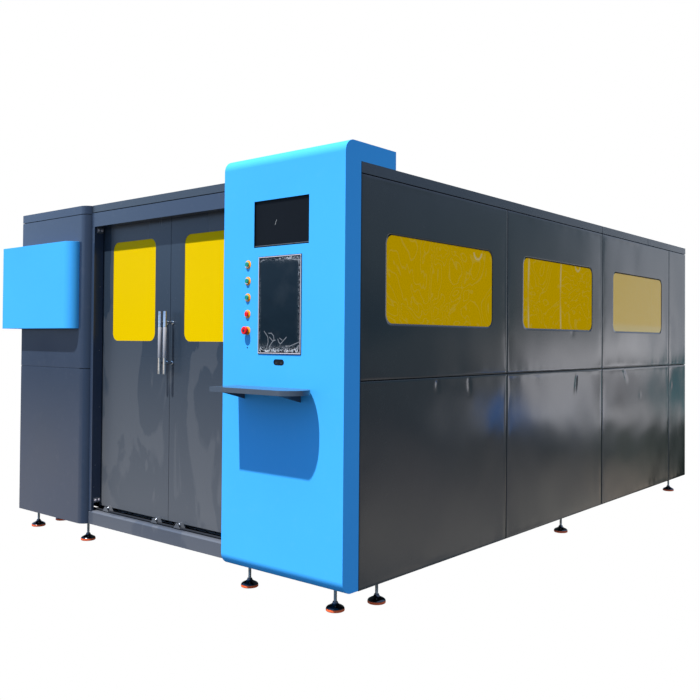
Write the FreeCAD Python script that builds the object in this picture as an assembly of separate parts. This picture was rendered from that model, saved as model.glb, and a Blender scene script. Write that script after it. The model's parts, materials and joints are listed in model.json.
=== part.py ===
import FreeCAD, Part
import math
import os

from FreeCAD import Vector

# Enclosed sheet-metal laser cutter.  Millimetres.  X runs across the front from the left cabinet to
# the control tower, Y runs from the front to the rear, Z is up.  The origin is on the floor, under the
# centre of the overall box.  Every place is worked out from the faces named in "Reference faces".

# ---------------------------------------------------------------- driving dimensions: enclosure
body_width = 2935.0            # left side panels to right side panels
body_length = 4658.0           # tower face to rear panels
roof_height = 2110.0
underside_height = 115.0       # lower edge of the side panels and of the base beams
mid_seam_height = 1085.0
cap_height = 52.0              # down-turned edge of the roof covers
sheet = 2.0                    # panel thickness
panel_flange = 25.0            # return flange round every panel
seam_gap = 4.0
rear_bay_width = 422.0
window_bays = 3
side_window_width = 1000.0
side_window_height = 432.0
side_window_bottom = 1358.0
side_window_shift = 10.0       # towards the rear of its bay
window_corner_radius = 50.0
pane_thickness = 3.0
pane_overlap = 15.0            # pane edge hidden behind the skin
rear_roof_cover_length = 903.0

# ---------------------------------------------------------------- driving dimensions: frames
base_beam_size = 80.0
base_beam_wall = 4.0
post_size = 60.0
post_wall = 3.0
front_beam_depth = 57.0
front_beam_clearance = 1.0     # from the sill cover and from the skins that are notched round it

# ---------------------------------------------------------------- driving dimensions: control tower
tower_width = 820.0
tower_head_rise = 90.0         # top of the tower above the roof
tower_depth = 113.0
tower_edge_radius = 60.0
tower_head_depth = 382.0       # part of the tower that runs back over the roof
tower_ground_gap = 118.0
tower_back_flange = 18.0
upper_screen_width = 373.0
upper_screen_height = 231.0
upper_screen_left = 597.0      # from the right side panels
upper_screen_bottom = 1733.0
upper_screen_recess = 8.0
lower_screen_width = 289.0
lower_screen_height = 476.0
lower_screen_left = 559.0
lower_screen_bottom = 1207.0
screen_bezel = 13.0
bezel_height = 5.0
monitor_depth = 42.0
slot_centre = 417.0
slot_height = 1165.0
slot_length = 72.0
slot_width = 30.0
key_hole_height = 1234.0
key_hole_diameter = 9.0
shelf_top = 1044.0
shelf_thickness = 24.0
shelf_left_margin = 118.0      # from the tower's left edge
shelf_right = 225.0
shelf_depth = 190.0
shelf_end_bulge = 70.0         # how far the round right-hand end swells past its corners
gusset_height = 42.0
gusset_thickness = 3.0
gusset_inset = 45.0

# ---------------------------------------------------------------- driving dimensions: push buttons
button_from_right = 638.5
top_button_height = 1652.0
button_pitch = 83.0
button_hole_diameter = 22.4
button_barrel_diameter = 22.0
button_barrel_length = 40.0
collar_diameter = 29.0
collar_height = 8.0
ring_diameter = 42.0
ring_thickness = 1.5
cap_diameter = 23.4
cap_clearance = 0.3
cap_proud = 4.0
cap_skirt = 1.0                # height of the cap inside its collar
cap_edge_radius = 1.5
cap_seat_height = 2.0          # floor of the cap's seat, in front of the panel
button_travel = 4.0
stem_diameter = 10.0
stem_length = 30.0
stem_end_gap = 4.0
mushroom_diameter = 40.0
mushroom_height = 12.0
mushroom_edge_radius = 5.0
mushroom_neck = 4.0
mushroom_proud = 28.0
estop_travel = 6.0
fit_clearance = 0.05           # radial clearance of every running fit

# ---------------------------------------------------------------- driving dimensions: left cabinet
cabinet_width = 770.0
cabinet_setback = 48.0         # its face behind the tower face
cabinet_edge_radius = 60.0
cabinet_back = 109.0           # rear edge of its skin, behind the tower face
cabinet_strip_reach = 20.0     # joint strip behind the cabinet's seam, above and below it
pod_overhang = 126.0           # past the left side panels
pod_inner_margin = 71.0        # from the pod's right edge to the cabinet's right edge
pod_bottom = 1337.0
pod_height = 548.0
pod_proud = 72.0
pod_edge_radius = 65.0
pod_side_length = 640.0

# ---------------------------------------------------------------- driving dimensions: doorway
header_setback = 89.0
header_drop = 134.0            # underside of the header below the roof
header_cap = 44.0
sill_top = 198.0
sill_bevel = 8.0
jamb_width = 28.0
jamb_web_lift = 12.0           # jamb's return above the roller brackets that pass under it
door_setback = 160.0
door_thickness = 30.0
leaf_bottom = 224.0
leaf_top_lap = 59.0            # leaf's upper edge above the underside of the header
left_leaf_lap = 20.5           # closed left leaf behind the jamb
right_leaf_lap = 53.5          # closed right leaf behind the tower
meeting_gap = 3.0
door_window_height = 610.0
door_window_bottom = 1262.0
door_window_left_margin = 124.0
door_window_right_margin = 143.0
guide_clearance = 3.0
handle_diameter = 20.0
handle_length = 363.0
handle_bottom = 1072.0
handle_sleeve_length = 178.0
handle_sleeve_diameter = 22.0
handle_standoff = 55.0         # bar centre in front of the leaf
standoff_diameter = 14.0
standoff_inset = 65.0
handle_edge_inset = 22.0       # bar centre from the meeting edge
rod_diameter = 14.0
rod_setback = 132.0
roller_diameter = 23.0
roller_width = 12.0
roller_groove_clearance = 0.3
roller_tread_radius = 8.0
axle_diameter = 6.0
roller_side_gap = 2.0
bracket_width = 56.0
bracket_tip_width = 14.0
bracket_bottom = 204.0
bracket_top = 233.0
bracket_thickness = 3.0
first_roller_inset = 126.0     # from the left edge of either leaf
second_roller_inset = 82.0     # from the right edge of either leaf

# ---------------------------------------------------------------- driving dimensions: levelling feet
pad_diameter = 90.0
pad_thickness = 12.0
cup_height = 20.0
cup_rim_inset = 2.0
cup_neck_wall = 5.0
stud_diameter = 16.0
stud_height = 150.0
nut_across_flats = 24.0
nut_height = 10.0
stud_hole_clearance = 0.6
tower_foot_insets = (139.0, 96.0)    # from the tower's right and left edges
tower_feet_setback = 113.0
cabinet_foot_insets = (116.0, 58.0)  # from the cabinet's left and right edges
cabinet_feet_setback = 127.0
first_side_foot = 335.0        # behind the tower face
second_side_foot = 519.0       # in front of the second seam
rear_foot_inset = 236.0        # from the rear panels

# ---------------------------------------------------------------- driving dimensions: cutting bed
bed_width = 1900.0
bed_front = 420.0              # behind the tower face
bed_beam_width = 160.0
bed_beam_height = 200.0
bed_beam_wall = 8.0
bed_top = 800.0
bed_leg_size = 120.0
bed_end_beam_height = 120.0
bed_end_beam_width = 100.0
bed_rear_gap = 416.0           # from the bed to the rear bay
bed_overrun = 800.0            # bed length beyond the gantry travel
slat_pitch = 85.0
slat_thickness = 3.0
slat_height = 100.0
slat_tooth_pitch = 50.0
slat_tooth_depth = 12.0
comb_thickness = 8.0
comb_height = 90.0
comb_slot_depth = 40.0
slat_slot_clearance = 0.5

# ---------------------------------------------------------------- driving dimensions: motion
rail_width = 25.0
rail_height = 25.0
rail_from_edge = 120.0         # rail centre from the outer face of the bed
rack_width = 24.0
rack_height = 20.0
rail_rack_gap = 18.0
gear_module = 3.0
pinion_teeth = 20
pressure_angle = math.radians(20.0)
flank_clearance = 0.15         # taken off each flank of a pinion tooth
centre_clearance = 0.15        # added between rack and pinion
pinion_lift = 3.0              # pinion above the surface that the rack stands on
pinion_shaft_diameter = 20.0
gantry_beam_depth = 180.0
gantry_beam_height = 200.0
gantry_beam_wall = 6.0
gantry_beam_bottom = 900.0
gantry_front_margin = 300.0    # beam centre from the bed's front end, at the end of its travel
bearing_block_length = 90.0
bearing_block_width = 60.0
beam_foot_margin = 10.0        # foot and motor plate past the blocks and the motor
bearing_block_overlap = 19.0   # how far a block reaches down beside its rail
bearing_block_roof = 18.0      # block above its rail
bearing_clearance = 0.4
motor_plate_thickness = 15.0
motor_size = 90.0
motor_length = 200.0
motor_offset = 50.0            # motor axis behind the beam
gearbox_size = 80.0
gearbox_length = 80.0
motor_body_radius = 37.0
motor_bore_depth = 40.0        # how far a pinion's shaft runs inside its motor
shaft_end_gap = 2.0
shaft_hole_clearance = 2.0     # round a shaft that only passes through a plate
beam_rail_size = 20.0
beam_rail_inset = 25.0
beam_rack_rise = 8.0           # pitch line of the beam's rack above the middle of the beam
carriage_width = 380.0
carriage_height = 250.0
carriage_bottom = 880.0
carriage_plate = 12.0
carriage_gap = 13.0            # from the beam rails to the carriage plate
cross_motor_length = 100.0
runner_inset = 5.0
runner_length = 60.0
runner_wall = 8.0
beam_rail_root_gap = 3.0       # from a runner to the beam
slide_runner_heights = (20.0, 120.0)
slide_runner_length = 45.0
slide_runner_wall = 5.0
nut_height_on_slide = 80.0
carriage_travel = 650.0        # each way from the middle
carriage_pinion_shift = 105.0  # towards the left of the carriage middle
slide_shift = 80.0             # towards the right of the carriage middle
slide_width = 160.0
slide_height = 300.0
slide_plate = 14.0
slide_bottom = 960.0
slide_travel = 120.0
slide_rail_size = 14.0
slide_gap = 40.0               # from the carriage plate to the slide plate
screw_diameter = 16.0
screw_bottom = 905.0
screw_journal_diameter = 12.0
screw_journal_length = 40.0
screw_bracket_thickness = 20.0
screw_bracket_reach = 15.0     # bracket in front of the screw's axis
nut_block_size = 34.0
nut_block_height = 30.0
z_motor_size = 60.0
z_motor_length = 90.0
head_size = 70.0
head_height = 230.0
nozzle_tip_height = 930.0
nozzle_length = 40.0
nozzle_tip_radius = 2.5
nozzle_top_radius = 14.0
head_taper_length = 40.0
fibre_socket_radius = 22.0
fibre_socket_length = 60.0

# ---------------------------------------------------------------- driving dimensions: rear bay, roof
spigot_diameter = 200.0
spigot_height = 80.0
spigot_wall = 2.0
spigot_flange_diameter = 260.0
spigot_flange_thickness = 3.0
spigot_from_rear = 238.0
source_width = 480.0
source_depth = 300.0
source_height = 700.0
source_from_middle = 800.0
electrics_width = 700.0
electrics_depth = 260.0
electrics_height = 1400.0
electrics_from_middle = 700.0
rear_unit_clearance = 45.0     # in front of the rear panels

# ---------------------------------------------------------------- reference faces
x_right = (body_width + pod_overhang) / 2
x_left = x_right - body_width
y_front = -(body_length + shelf_depth) / 2 + shelf_depth
y_rear = y_front + body_length
x_middle = (x_left + x_right) / 2
tower_height = roof_height + tower_head_rise
y_panels = y_front + tower_depth + seam_gap
y_post_front = y_front + tower_depth
bay_width = (body_length - tower_depth - rear_bay_width) / window_bays
x_tower = x_right - tower_width
x_cabinet = x_left + cabinet_width
y_header = y_front + header_setback
y_leaf = y_front + door_setback
y_rod = y_front + rod_setback
header_bottom = roof_height - header_drop
leaf_top = header_bottom + leaf_top_lap
doorway_width = x_tower - x_cabinet - jamb_width
leaf_width = (doorway_width + left_leaf_lap + right_leaf_lap - meeting_gap) / 2
door_window_width = leaf_width - door_window_left_margin - door_window_right_margin
roller_insets = (first_roller_inset, leaf_width - second_roller_inset)
y_front_beam = y_header + sheet + sill_bevel + front_beam_clearance
y_front_beam_back = y_front_beam + front_beam_depth
cap_bottom = roof_height - cap_height
base_beam_top = underside_height + base_beam_size
roof_beam_top = roof_height - sheet
roof_beam_bottom = roof_beam_top - post_size
frame_left = x_left + panel_flange
frame_right = x_right - panel_flange
frame_rear = y_rear - panel_flange
seams = [y_front + tower_depth + bay_width * (i + 1) for i in range(window_bays)]
tray_top = base_beam_top + sheet
bed_y0 = y_front + bed_front
bed_y1 = seams[-1] - bed_rear_gap
gantry_travel = bed_y1 - bed_y0 - bed_overrun
slat_count = int(gantry_travel / slat_pitch) + 1
gantry_y = bed_y0 + gantry_front_margin + gantry_travel
pitch_radius = gear_module * pinion_teeth / 2
tooth_pitch = math.pi * gear_module


# ---------------------------------------------------------------- shape helpers
def box(x0, x1, y0, y1, z0, z1):
    """Block between two opposite corners."""
    return Part.makeBox(x1 - x0, y1 - y0, z1 - z0, Vector(x0, y0, z0))


def rod(radius, length, start, direction):
    """Round bar from a start point along a direction."""
    return Part.makeCylinder(radius, length, Vector(*start), Vector(*direction))


def upright(radius, height, x, y, z):
    """Round bar standing on z."""
    return Part.makeCylinder(radius, height, Vector(x, y, z), Vector(0, 0, 1))


def outline(start, *steps):
    """Flat face: a step that is one point is a straight edge, a step of two points is an arc."""
    here = Vector(*start)
    edges = []
    for step in steps + (start,):
        if isinstance(step[0], tuple):
            middle = Vector(*step[0])
            end = Vector(*step[1])
            edges.append(Part.Arc(here, middle, end).toShape())
        else:
            end = Vector(*step)
            edges.append(Part.LineSegment(here, end).toShape())
        here = end
    return Part.Face(Part.Wire(edges))


def polygon(points):
    """Flat face with straight edges through the points."""
    corners = [Vector(*p) for p in points]
    return Part.Face(Part.makePolygon(corners + corners[:1]))


def prism(points, direction):
    """Polygon pushed along a direction."""
    return polygon(points).extrude(Vector(*direction))


def hollow_beam(x0, x1, y0, y1, z0, z1, wall, along):
    """Rectangular tube, open at both ends, along X, Y or Z."""
    inner = {"x": (0, wall, wall), "y": (wall, 0, wall), "z": (wall, wall, 0)}[along]
    dx, dy, dz = inner
    bore = box(x0 + dx, x1 - dx, y0 + dy, y1 - dy, z0 + dz, z1 - dz)
    return box(x0, x1, y0, y1, z0, z1).cut(bore)


def closed_case(x0, x1, y0, y1, z0, z1, wall):
    """Sheet-metal housing, closed all round."""
    inside = box(x0 + wall, x1 - wall, y0 + wall, y1 - wall, z0 + wall, z1 - wall)
    return box(x0, x1, y0, y1, z0, z1).cut(inside)


def round_window(x0, x1, y0, y1, z0, z1, radius):
    """Block whose four edges along Y are rounded, for cutting a window."""
    block = box(x0, x1, y0, y1, z0, z1)
    corners = [e for e in block.Edges if abs(e.tangentAt(e.FirstParameter).y) > 0.9]
    return block.makeFillet(radius, corners)


def pan(width, height, depth, window=None):
    """Folded panel with its outer face on y = 0: a skin with a return flange on all four edges."""
    body = box(0, width, 0, depth, 0, height)
    body = body.cut(box(sheet, width - sheet, sheet, depth + 1, sheet, height - sheet))
    if window:
        x0, x1, z0, z1 = window
        body = body.cut(round_window(x0, x1, -1, sheet + 1, z0, z1, window_corner_radius))
    return body


def placed(shape, x, y, z, turn=0.0):
    """Shape turned about Z, then moved."""
    result = shape.copy()
    result.rotate(Vector(0, 0, 0), Vector(0, 0, 1), turn)
    result.translate(Vector(x, y, z))
    return result


def fused(shapes):
    """One solid from shapes that touch."""
    return shapes[0].multiFuse(shapes[1:]).removeSplitter()


def hexagon(across_flats, height, x, y, z):
    """Hexagon block standing on z."""
    radius = across_flats / math.sqrt(3)
    ring = [math.radians(60 * i) for i in range(6)]
    corners = [(x + radius * math.cos(a), y + radius * math.sin(a), z) for a in ring]
    return prism(corners, (0, 0, height))


def involute_outline(teeth):
    """Corner points of a spur gear with its first tooth gap centred on the +X axis."""
    base_radius = pitch_radius * math.cos(pressure_angle)
    tip_radius = pitch_radius + gear_module
    root_radius = pitch_radius - 1.25 * gear_module
    half_tooth = math.pi / (2 * teeth) - flank_clearance / pitch_radius
    inv_pitch = math.tan(pressure_angle) - pressure_angle
    steps = 5
    flank = []
    for i in range(steps + 1):
        radius = max(base_radius, root_radius) + (tip_radius - max(base_radius, root_radius)) * i / steps
        roll = math.acos(min(1.0, base_radius / radius))
        flank.append((radius, half_tooth + inv_pitch - (math.tan(roll) - roll)))
    points = []
    for k in range(teeth):
        middle = 2 * math.pi * (k + 0.5) / teeth
        points.append((root_radius, middle - flank[0][1]))
        points.extend((radius, middle - half) for radius, half in flank)
        points.extend((radius, middle + half) for radius, half in reversed(flank))
        points.append((root_radius, middle + flank[0][1]))
    return [(r * math.cos(a), r * math.sin(a), 0) for r, a in points]


def pinion(shaft_radius, shaft_length):
    """Spur pinion from z = 0 up to the rack height, with its shaft standing on it."""
    gear = prism(involute_outline(pinion_teeth), (0, 0, rack_height - 2 * pinion_lift))
    shaft = rod(shaft_radius, shaft_length, (0, 0, rack_height - 2 * pinion_lift), (0, 0, 1))
    return fused([gear, shaft])


def rack(length):
    """Rack along +X from x = 0, teeth towards +Y with their pitch line on y = 0, standing on z = 0.

    A tooth is centred on every whole number of pitches from x = 0, short of both ends."""
    root = -1.25 * gear_module
    tip = gear_module
    back = -rack_width
    slope = math.tan(pressure_angle)
    points = [(0, back, 0), (length, back, 0), (length, root, 0)]
    for k in range(int(length / tooth_pitch) - 1, 0, -1):
        centre = k * tooth_pitch
        for sign in (1, -1):
            low = (centre + sign * (tooth_pitch / 4 - root * slope), root, 0)
            high = (centre + sign * (tooth_pitch / 4 - tip * slope), tip, 0)
            points.extend([low, high] if sign > 0 else [high, low])
    points.append((0, root, 0))
    return prism(points, (0, 0, rack_height))


# ---------------------------------------------------------------- levelling feet
def foot_places():
    """Floor points of all feet."""
    places = [(x, y_front + tower_feet_setback)
              for x in (x_right - tower_foot_insets[0], x_tower + tower_foot_insets[1])]
    places += [(x, y_front + cabinet_feet_setback)
               for x in (x_left + cabinet_foot_insets[0], x_cabinet - cabinet_foot_insets[1])]
    rows = [y_front + first_side_foot, seams[1] - second_side_foot, y_rear - rear_foot_inset]
    for y in rows:
        places.append((frame_right - base_beam_size / 2, y))
        places.append((frame_left + base_beam_size / 2, y))
    return places


def foot_stud(x, y):
    """Threaded stud with the domed cup that is pressed onto its lower end."""
    neck = stud_diameter / 2 + cup_neck_wall
    rim = pad_diameter / 2 - cup_rim_inset
    profile = [(0, 0), (rim, 0), (rim, 0.2 * cup_height), (0.72 * rim, 0.45 * cup_height)]
    profile += [(neck, 0.75 * cup_height), (neck - 1, cup_height), (0, cup_height)]
    cup = polygon([(r, 0, pad_thickness + z) for r, z in profile])
    cup = cup.revolve(Vector(0, 0, 0), Vector(0, 0, 1), 360)
    stud = upright(stud_diameter / 2, stud_height - pad_thickness, 0, 0, pad_thickness)
    return placed(fused([cup, stud]), x, y, 0)


def foot_nut(x, y):
    """Jam nut against the underside of the machine."""
    low = underside_height - nut_height
    nut = hexagon(nut_across_flats, nut_height, x, y, low)
    return nut.cut(upright(stud_diameter / 2 + fit_clearance, nut_height + 2, x, y, low - 1))


def stud_holes():
    """Cutters for the stud holes in the base beams."""
    radius = stud_diameter / 2 + stud_hole_clearance
    return [upright(radius, base_beam_wall + 2, x, y, underside_height - 1) for x, y in foot_places()]


# ---------------------------------------------------------------- frames
def post_rows():
    """Front faces of the rows of upright posts."""
    return [y_post_front] + [y - post_size / 2 for y in seams] + [frame_rear - post_size]


def base_frame():
    """Two long beams, a front beam under the sill and cross beams, each a separate tube."""
    y0 = y_post_front
    low = underside_height
    beams = []
    for x in (frame_left, frame_right - base_beam_size):
        side = (x, x + base_beam_size, y0, frame_rear, low, base_beam_top)
        beams.append(hollow_beam(*side, base_beam_wall, "y"))
    x0 = frame_left + base_beam_size
    x1 = frame_right - base_beam_size
    front = (x0, x1, y_front_beam, y_front_beam_back, low, sill_top - sheet)
    beams.append(hollow_beam(*front, base_beam_wall, "x"))
    rows = [y - base_beam_size / 2 for y in seams] + [frame_rear - base_beam_size]
    for y in rows:
        beams.append(hollow_beam(x0, x1, y, y + base_beam_size, low, base_beam_top, base_beam_wall, "x"))
    return [beam.cut(stud_holes()) for beam in beams]


def front_beam_notch():
    """Cutter that leaves room for the front beam in the skins of the tower and the cabinet."""
    gap = front_beam_clearance
    x0 = frame_left + base_beam_size
    x1 = frame_right - base_beam_size
    return box(x0, x1, y_front_beam - gap, y_front_beam_back, underside_height - 1, sill_top + gap)


def enclosure_frame():
    """Upright posts on the long base beams, with the roof beams on top of them."""
    pieces = []
    for y in post_rows():
        for x in (frame_left, frame_right - post_size):
            post = (x, x + post_size, y, y + post_size, base_beam_top, roof_beam_bottom)
            pieces.append(hollow_beam(*post, post_wall, "z"))
    for x in (frame_left, frame_right - post_size):
        side = (x, x + post_size, y_post_front, frame_rear, roof_beam_bottom, roof_beam_top)
        pieces.append(hollow_beam(*side, post_wall, "y"))
    x0 = frame_left + post_size
    x1 = frame_right - post_size
    first = y_leaf + door_thickness + guide_clearance + sheet + seam_gap
    for y in [first] + post_rows()[1:]:
        cross = (x0, x1, y, y + post_size, roof_beam_bottom, roof_beam_top)
        pieces.append(hollow_beam(*cross, post_wall, "x"))
    return pieces


def floor_tray():
    """Flat tray that catches scrap, lying on the cross beams."""
    y0 = y_leaf + door_thickness + 2 * seam_gap
    x0 = frame_left + base_beam_size
    x1 = frame_right - base_beam_size
    return box(x0, x1, y0, frame_rear - post_size, base_beam_top, tray_top)


# ---------------------------------------------------------------- side, rear and roof skins
def side_bays():
    """Start and end of each bay along the machine, without the seam gaps."""
    edges = [y_panels - seam_gap / 2] + seams + [y_rear]
    return [(a + seam_gap / 2, b - seam_gap / 2) for a, b in zip(edges[:-1], edges[1:])]


def side_window(bay):
    """Window outline inside a bay's panel: start, end, bottom and top, from the panel's own corner."""
    low = side_window_bottom - mid_seam_height - seam_gap / 2
    start = (bay[1] - bay[0] - side_window_width) / 2 + side_window_shift
    return (start, start + side_window_width, low, low + side_window_height)


def right_upper_panels():
    """Upper right side: three panels with windows and a narrow plain one at the rear."""
    low = mid_seam_height + seam_gap / 2
    height = cap_bottom - seam_gap - low
    panels = []
    for index, bay in enumerate(side_bays()):
        window = side_window(bay) if index < window_bays else None
        panels.append(placed(pan(bay[1] - bay[0], height, panel_flange, window), x_right, bay[0], low, 90))
    return panels


def right_lower_panels():
    """Lower right side, one plain panel to a bay."""
    height = mid_seam_height - seam_gap / 2 - underside_height
    panels = []
    for bay in side_bays():
        panel = pan(bay[1] - bay[0], height, panel_flange)
        panels.append(placed(panel, x_right, bay[0], underside_height, 90))
    return panels


def right_windows():
    """Panes behind the window holes of the right side."""
    panes = []
    for bay in side_bays()[:window_bays]:
        y0, y1, z0, z1 = side_window(bay)
        base = mid_seam_height + seam_gap / 2
        edge = pane_overlap
        x1 = x_right - sheet
        panes.append(box(x1 - pane_thickness, x1, bay[0] + y0 - edge, bay[0] + y1 + edge,
                         base + z0 - edge, base + z1 + edge))
    return panes


def left_panels():
    """Left side: plain upper and lower panels in the same bays."""
    low = mid_seam_height + seam_gap / 2
    panels = []
    for bay in side_bays():
        width = bay[1] - bay[0]
        lower = pan(width, mid_seam_height - seam_gap / 2 - underside_height, panel_flange)
        upper = pan(width, cap_bottom - seam_gap - low, panel_flange)
        panels.append(placed(lower, x_left, bay[1], underside_height, -90))
        panels.append(placed(upper, x_left, bay[1], low, -90))
    return panels


def rear_panels():
    """Rear: two columns of plain panels between the side skins."""
    low = mid_seam_height + seam_gap / 2
    x0 = x_left + panel_flange + seam_gap
    x1 = x_right - panel_flange - seam_gap
    width = (x1 - x0 - seam_gap) / 2
    panels = []
    for x in (x1, x1 - width - seam_gap):
        lower = pan(width, mid_seam_height - seam_gap / 2 - underside_height, panel_flange)
        upper = pan(width, cap_bottom - seam_gap - low, panel_flange)
        panels.append(placed(lower, x, y_rear, underside_height, 180))
        panels.append(placed(upper, x, y_rear, low, 180))
    return panels


def roof_cover(y0, y1, front_edge=False, rear_edge=False):
    """Roof sheet with its two long edges turned down."""
    parts = [box(x_left, x_right, y0, y1, roof_beam_top, roof_height)]
    for x in (x_left, x_right - sheet):
        parts.append(box(x, x + sheet, y0, y1, cap_bottom, roof_height))
    if rear_edge:
        parts.append(box(x_left, x_right, y1 - sheet, y1, cap_bottom, roof_height))
    if front_edge:
        x0 = x_cabinet + sheet
        x1 = x_tower - sheet
        parts.append(box(x0, x1, y_header, y0, roof_beam_top, roof_height))
        parts.append(box(x0, x1, y_header, y_header + sheet, roof_height - header_cap, roof_height))
    return fused(parts)


def roof_covers():
    """Three roof sheets; the rear one has the hole under the fume spigot."""
    first = seams[1]
    second = y_rear - rear_roof_cover_length
    gap = seam_gap / 2
    bore_radius = spigot_diameter / 2 - spigot_wall
    hole = upright(bore_radius, 5 * sheet, x_middle, y_rear - spigot_from_rear, roof_beam_top - 2 * sheet)
    covers = [roof_cover(y_panels, first - gap, front_edge=True), roof_cover(first + gap, second - gap)]
    covers.append(roof_cover(second + gap, y_rear, rear_edge=True).cut(hole))
    return covers


def exhaust_spigot():
    """Round stub on the roof that the fume duct slides over."""
    radius = spigot_diameter / 2
    place = (x_middle, y_rear - spigot_from_rear)
    stub = upright(radius, spigot_height, *place, roof_height)
    flange = upright(spigot_flange_diameter / 2, spigot_flange_thickness, *place, roof_height)
    bore = upright(radius - spigot_wall, spigot_height + 2, *place, roof_height - 1)
    return fused([stub, flange]).cut(bore)


# ---------------------------------------------------------------- control tower
def tower_profile(inset, back, low, head_low):
    """Side outline of the tower in the YZ plane, moved inwards by inset, as a face on x = 0."""
    radius = tower_edge_radius - inset
    lift = radius * (1 - math.sqrt(0.5))
    front = y_front + inset
    top = tower_height - inset
    head_back = y_front + tower_head_depth - inset
    low_arc = ((0, front + lift, low + lift), (0, front, low + radius))
    high_arc = ((0, front + lift, top - lift), (0, front + radius, top))
    return outline((0, front + radius, low), low_arc, (0, front, top - radius), high_arc, (0, head_back, top),
                   (0, head_back, head_low), (0, back, head_low), (0, back, low))


def button_heights():
    """Heights of the five buttons, from the top down."""
    return [top_button_height - button_pitch * i for i in range(5)]


def tower_shell():
    """Folded blue shell: rounded front edges at top and bottom, open towards the machine."""
    outer = tower_profile(0, y_post_front, tower_ground_gap, roof_height)
    shell = outer.extrude(Vector(tower_width, 0, 0))
    inner = tower_profile(sheet, y_post_front - sheet, tower_ground_gap + sheet, roof_height - 1)
    hollow = inner.extrude(Vector(tower_width - 2 * sheet, 0, 0))
    hollow.translate(Vector(sheet, 0, 0))
    shell = shell.cut(hollow)
    shell.translate(Vector(x_tower, 0, 0))
    flange = tower_back_flange
    cutters = [box(x_tower + flange, x_right - flange, y_post_front - 2 * sheet, y_post_front + 1,
                   tower_ground_gap + flange + sheet, roof_height - flange)]
    y0 = y_front - 1
    y1 = y_front + sheet + 1
    left = x_right - upper_screen_left
    cutters.append(box(left, left + upper_screen_width, y0, y1, upper_screen_bottom,
                       upper_screen_bottom + upper_screen_height))
    left = x_right - lower_screen_left + screen_bezel
    low = lower_screen_bottom + screen_bezel
    cutters.append(box(left, left + lower_screen_width - 2 * screen_bezel, y0, y1, low,
                       low + lower_screen_height - 2 * screen_bezel))
    x = x_right - button_from_right
    for z in button_heights():
        cutters.append(rod(button_hole_diameter / 2, sheet + 2, (x, y0, z), (0, 1, 0)))
    cutters.append(rod(key_hole_diameter / 2, sheet + 2, (x, y0, key_hole_height), (0, 1, 0)))
    x = x_right - slot_centre
    half = slot_width / 2
    cutters.append(round_window(x - slot_length / 2, x + slot_length / 2, y0, y1, slot_height - half,
                                slot_height + half, half - 0.1))
    cutters.append(front_beam_notch())
    return shell.cut(cutters)


def upper_monitor():
    """Landscape screen set back in its opening, held by a rim behind the shell."""
    left = x_right - upper_screen_left
    low = upper_screen_bottom
    y0 = y_front + upper_screen_recess
    edge = pane_overlap
    return box(left - edge, left + upper_screen_width + edge, y0, y0 + monitor_depth, low - edge,
               low + upper_screen_height + edge)


def lower_monitor():
    """Portrait touch screen, its glass level with the bezel's inner edge."""
    left = x_right - lower_screen_left + screen_bezel
    low = lower_screen_bottom + screen_bezel
    right = left + lower_screen_width - 2 * screen_bezel
    top = low + lower_screen_height - 2 * screen_bezel
    return box(left, right, y_front - bezel_height / 2, y_front + monitor_depth, low, top)


def lower_monitor_frame():
    """Flat metal bezel on the face of the shell, round the touch screen."""
    left = x_right - lower_screen_left
    low = lower_screen_bottom
    right = left + lower_screen_width
    top = low + lower_screen_height
    outer = box(left, right, y_front - bezel_height, y_front, low, top)
    edge = screen_bezel
    y0 = y_front - bezel_height - 1
    return outer.cut(box(left + edge, right - edge, y0, y_front + 1, low + edge, top - edge))


def keyboard_shelf():
    """Shelf with a square left end and a round right end, and two gussets under it."""
    x0 = x_tower + shelf_left_margin
    x1 = x_right - shelf_right
    y0 = y_front - shelf_depth
    z0 = shelf_top - shelf_thickness
    round_end = ((x1 + shelf_end_bulge, (y0 + y_front) / 2, z0), (x1, y_front, z0))
    plan = outline((x1, y0, z0), round_end, (x0, y_front, z0), (x0, y0, z0))
    parts = [plan.extrude(Vector(0, 0, shelf_thickness))]
    for x in (x0 + gusset_inset, x1 - gusset_inset):
        triangle = [(x, y_front, z0), (x, y0 + shelf_thickness, z0), (x, y_front, z0 - gusset_height)]
        parts.append(prism(triangle, (gusset_thickness, 0, 0)))
    return fused(parts)


# ---------------------------------------------------------------- push buttons
def along_button(shape, height):
    """Shape made along +Z from the panel's face, turned to point out of the tower at a button's place."""
    result = shape.copy()
    result.rotate(Vector(0, 0, 0), Vector(1, 0, 0), 90)
    result.translate(Vector(x_right - button_from_right, y_front, height))
    return result


def button_ring(height):
    """Round label plate under a button's collar."""
    ring = upright(ring_diameter / 2, ring_thickness, 0, 0, 0)
    hole = upright(button_hole_diameter / 2, ring_thickness + 2, 0, 0, -1)
    return along_button(ring.cut(hole), height)


def button_body(height):
    """Collar in front of the panel and barrel behind it, bored for the cap and its stem."""
    collar = upright(collar_diameter / 2, collar_height - ring_thickness, 0, 0, ring_thickness)
    barrel_length = button_barrel_length + ring_thickness
    barrel = upright(button_barrel_diameter / 2, barrel_length, 0, 0, -button_barrel_length)
    seat = upright(cap_diameter / 2 + cap_clearance, collar_height + 1, 0, 0, cap_seat_height)
    bore_length = stem_length + estop_travel
    bore = upright(stem_diameter / 2 + fit_clearance, bore_length + collar_height, 0, 0, -bore_length)
    return along_button(fused([collar, barrel]).cut([seat, bore]), height)


def button_cap(height):
    """Domed cap on its stem."""
    low = collar_height - cap_skirt
    skirt = upright(cap_diameter / 2, cap_proud + cap_skirt, 0, 0, low)
    rim = [e for e in skirt.Edges if e.BoundBox.ZMin > low + cap_proud]
    skirt = skirt.makeFillet(cap_edge_radius, rim)
    reach = stem_length - stem_end_gap
    stem = upright(stem_diameter / 2, reach + low, 0, 0, -reach)
    return along_button(fused([skirt, stem]), height)


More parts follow.
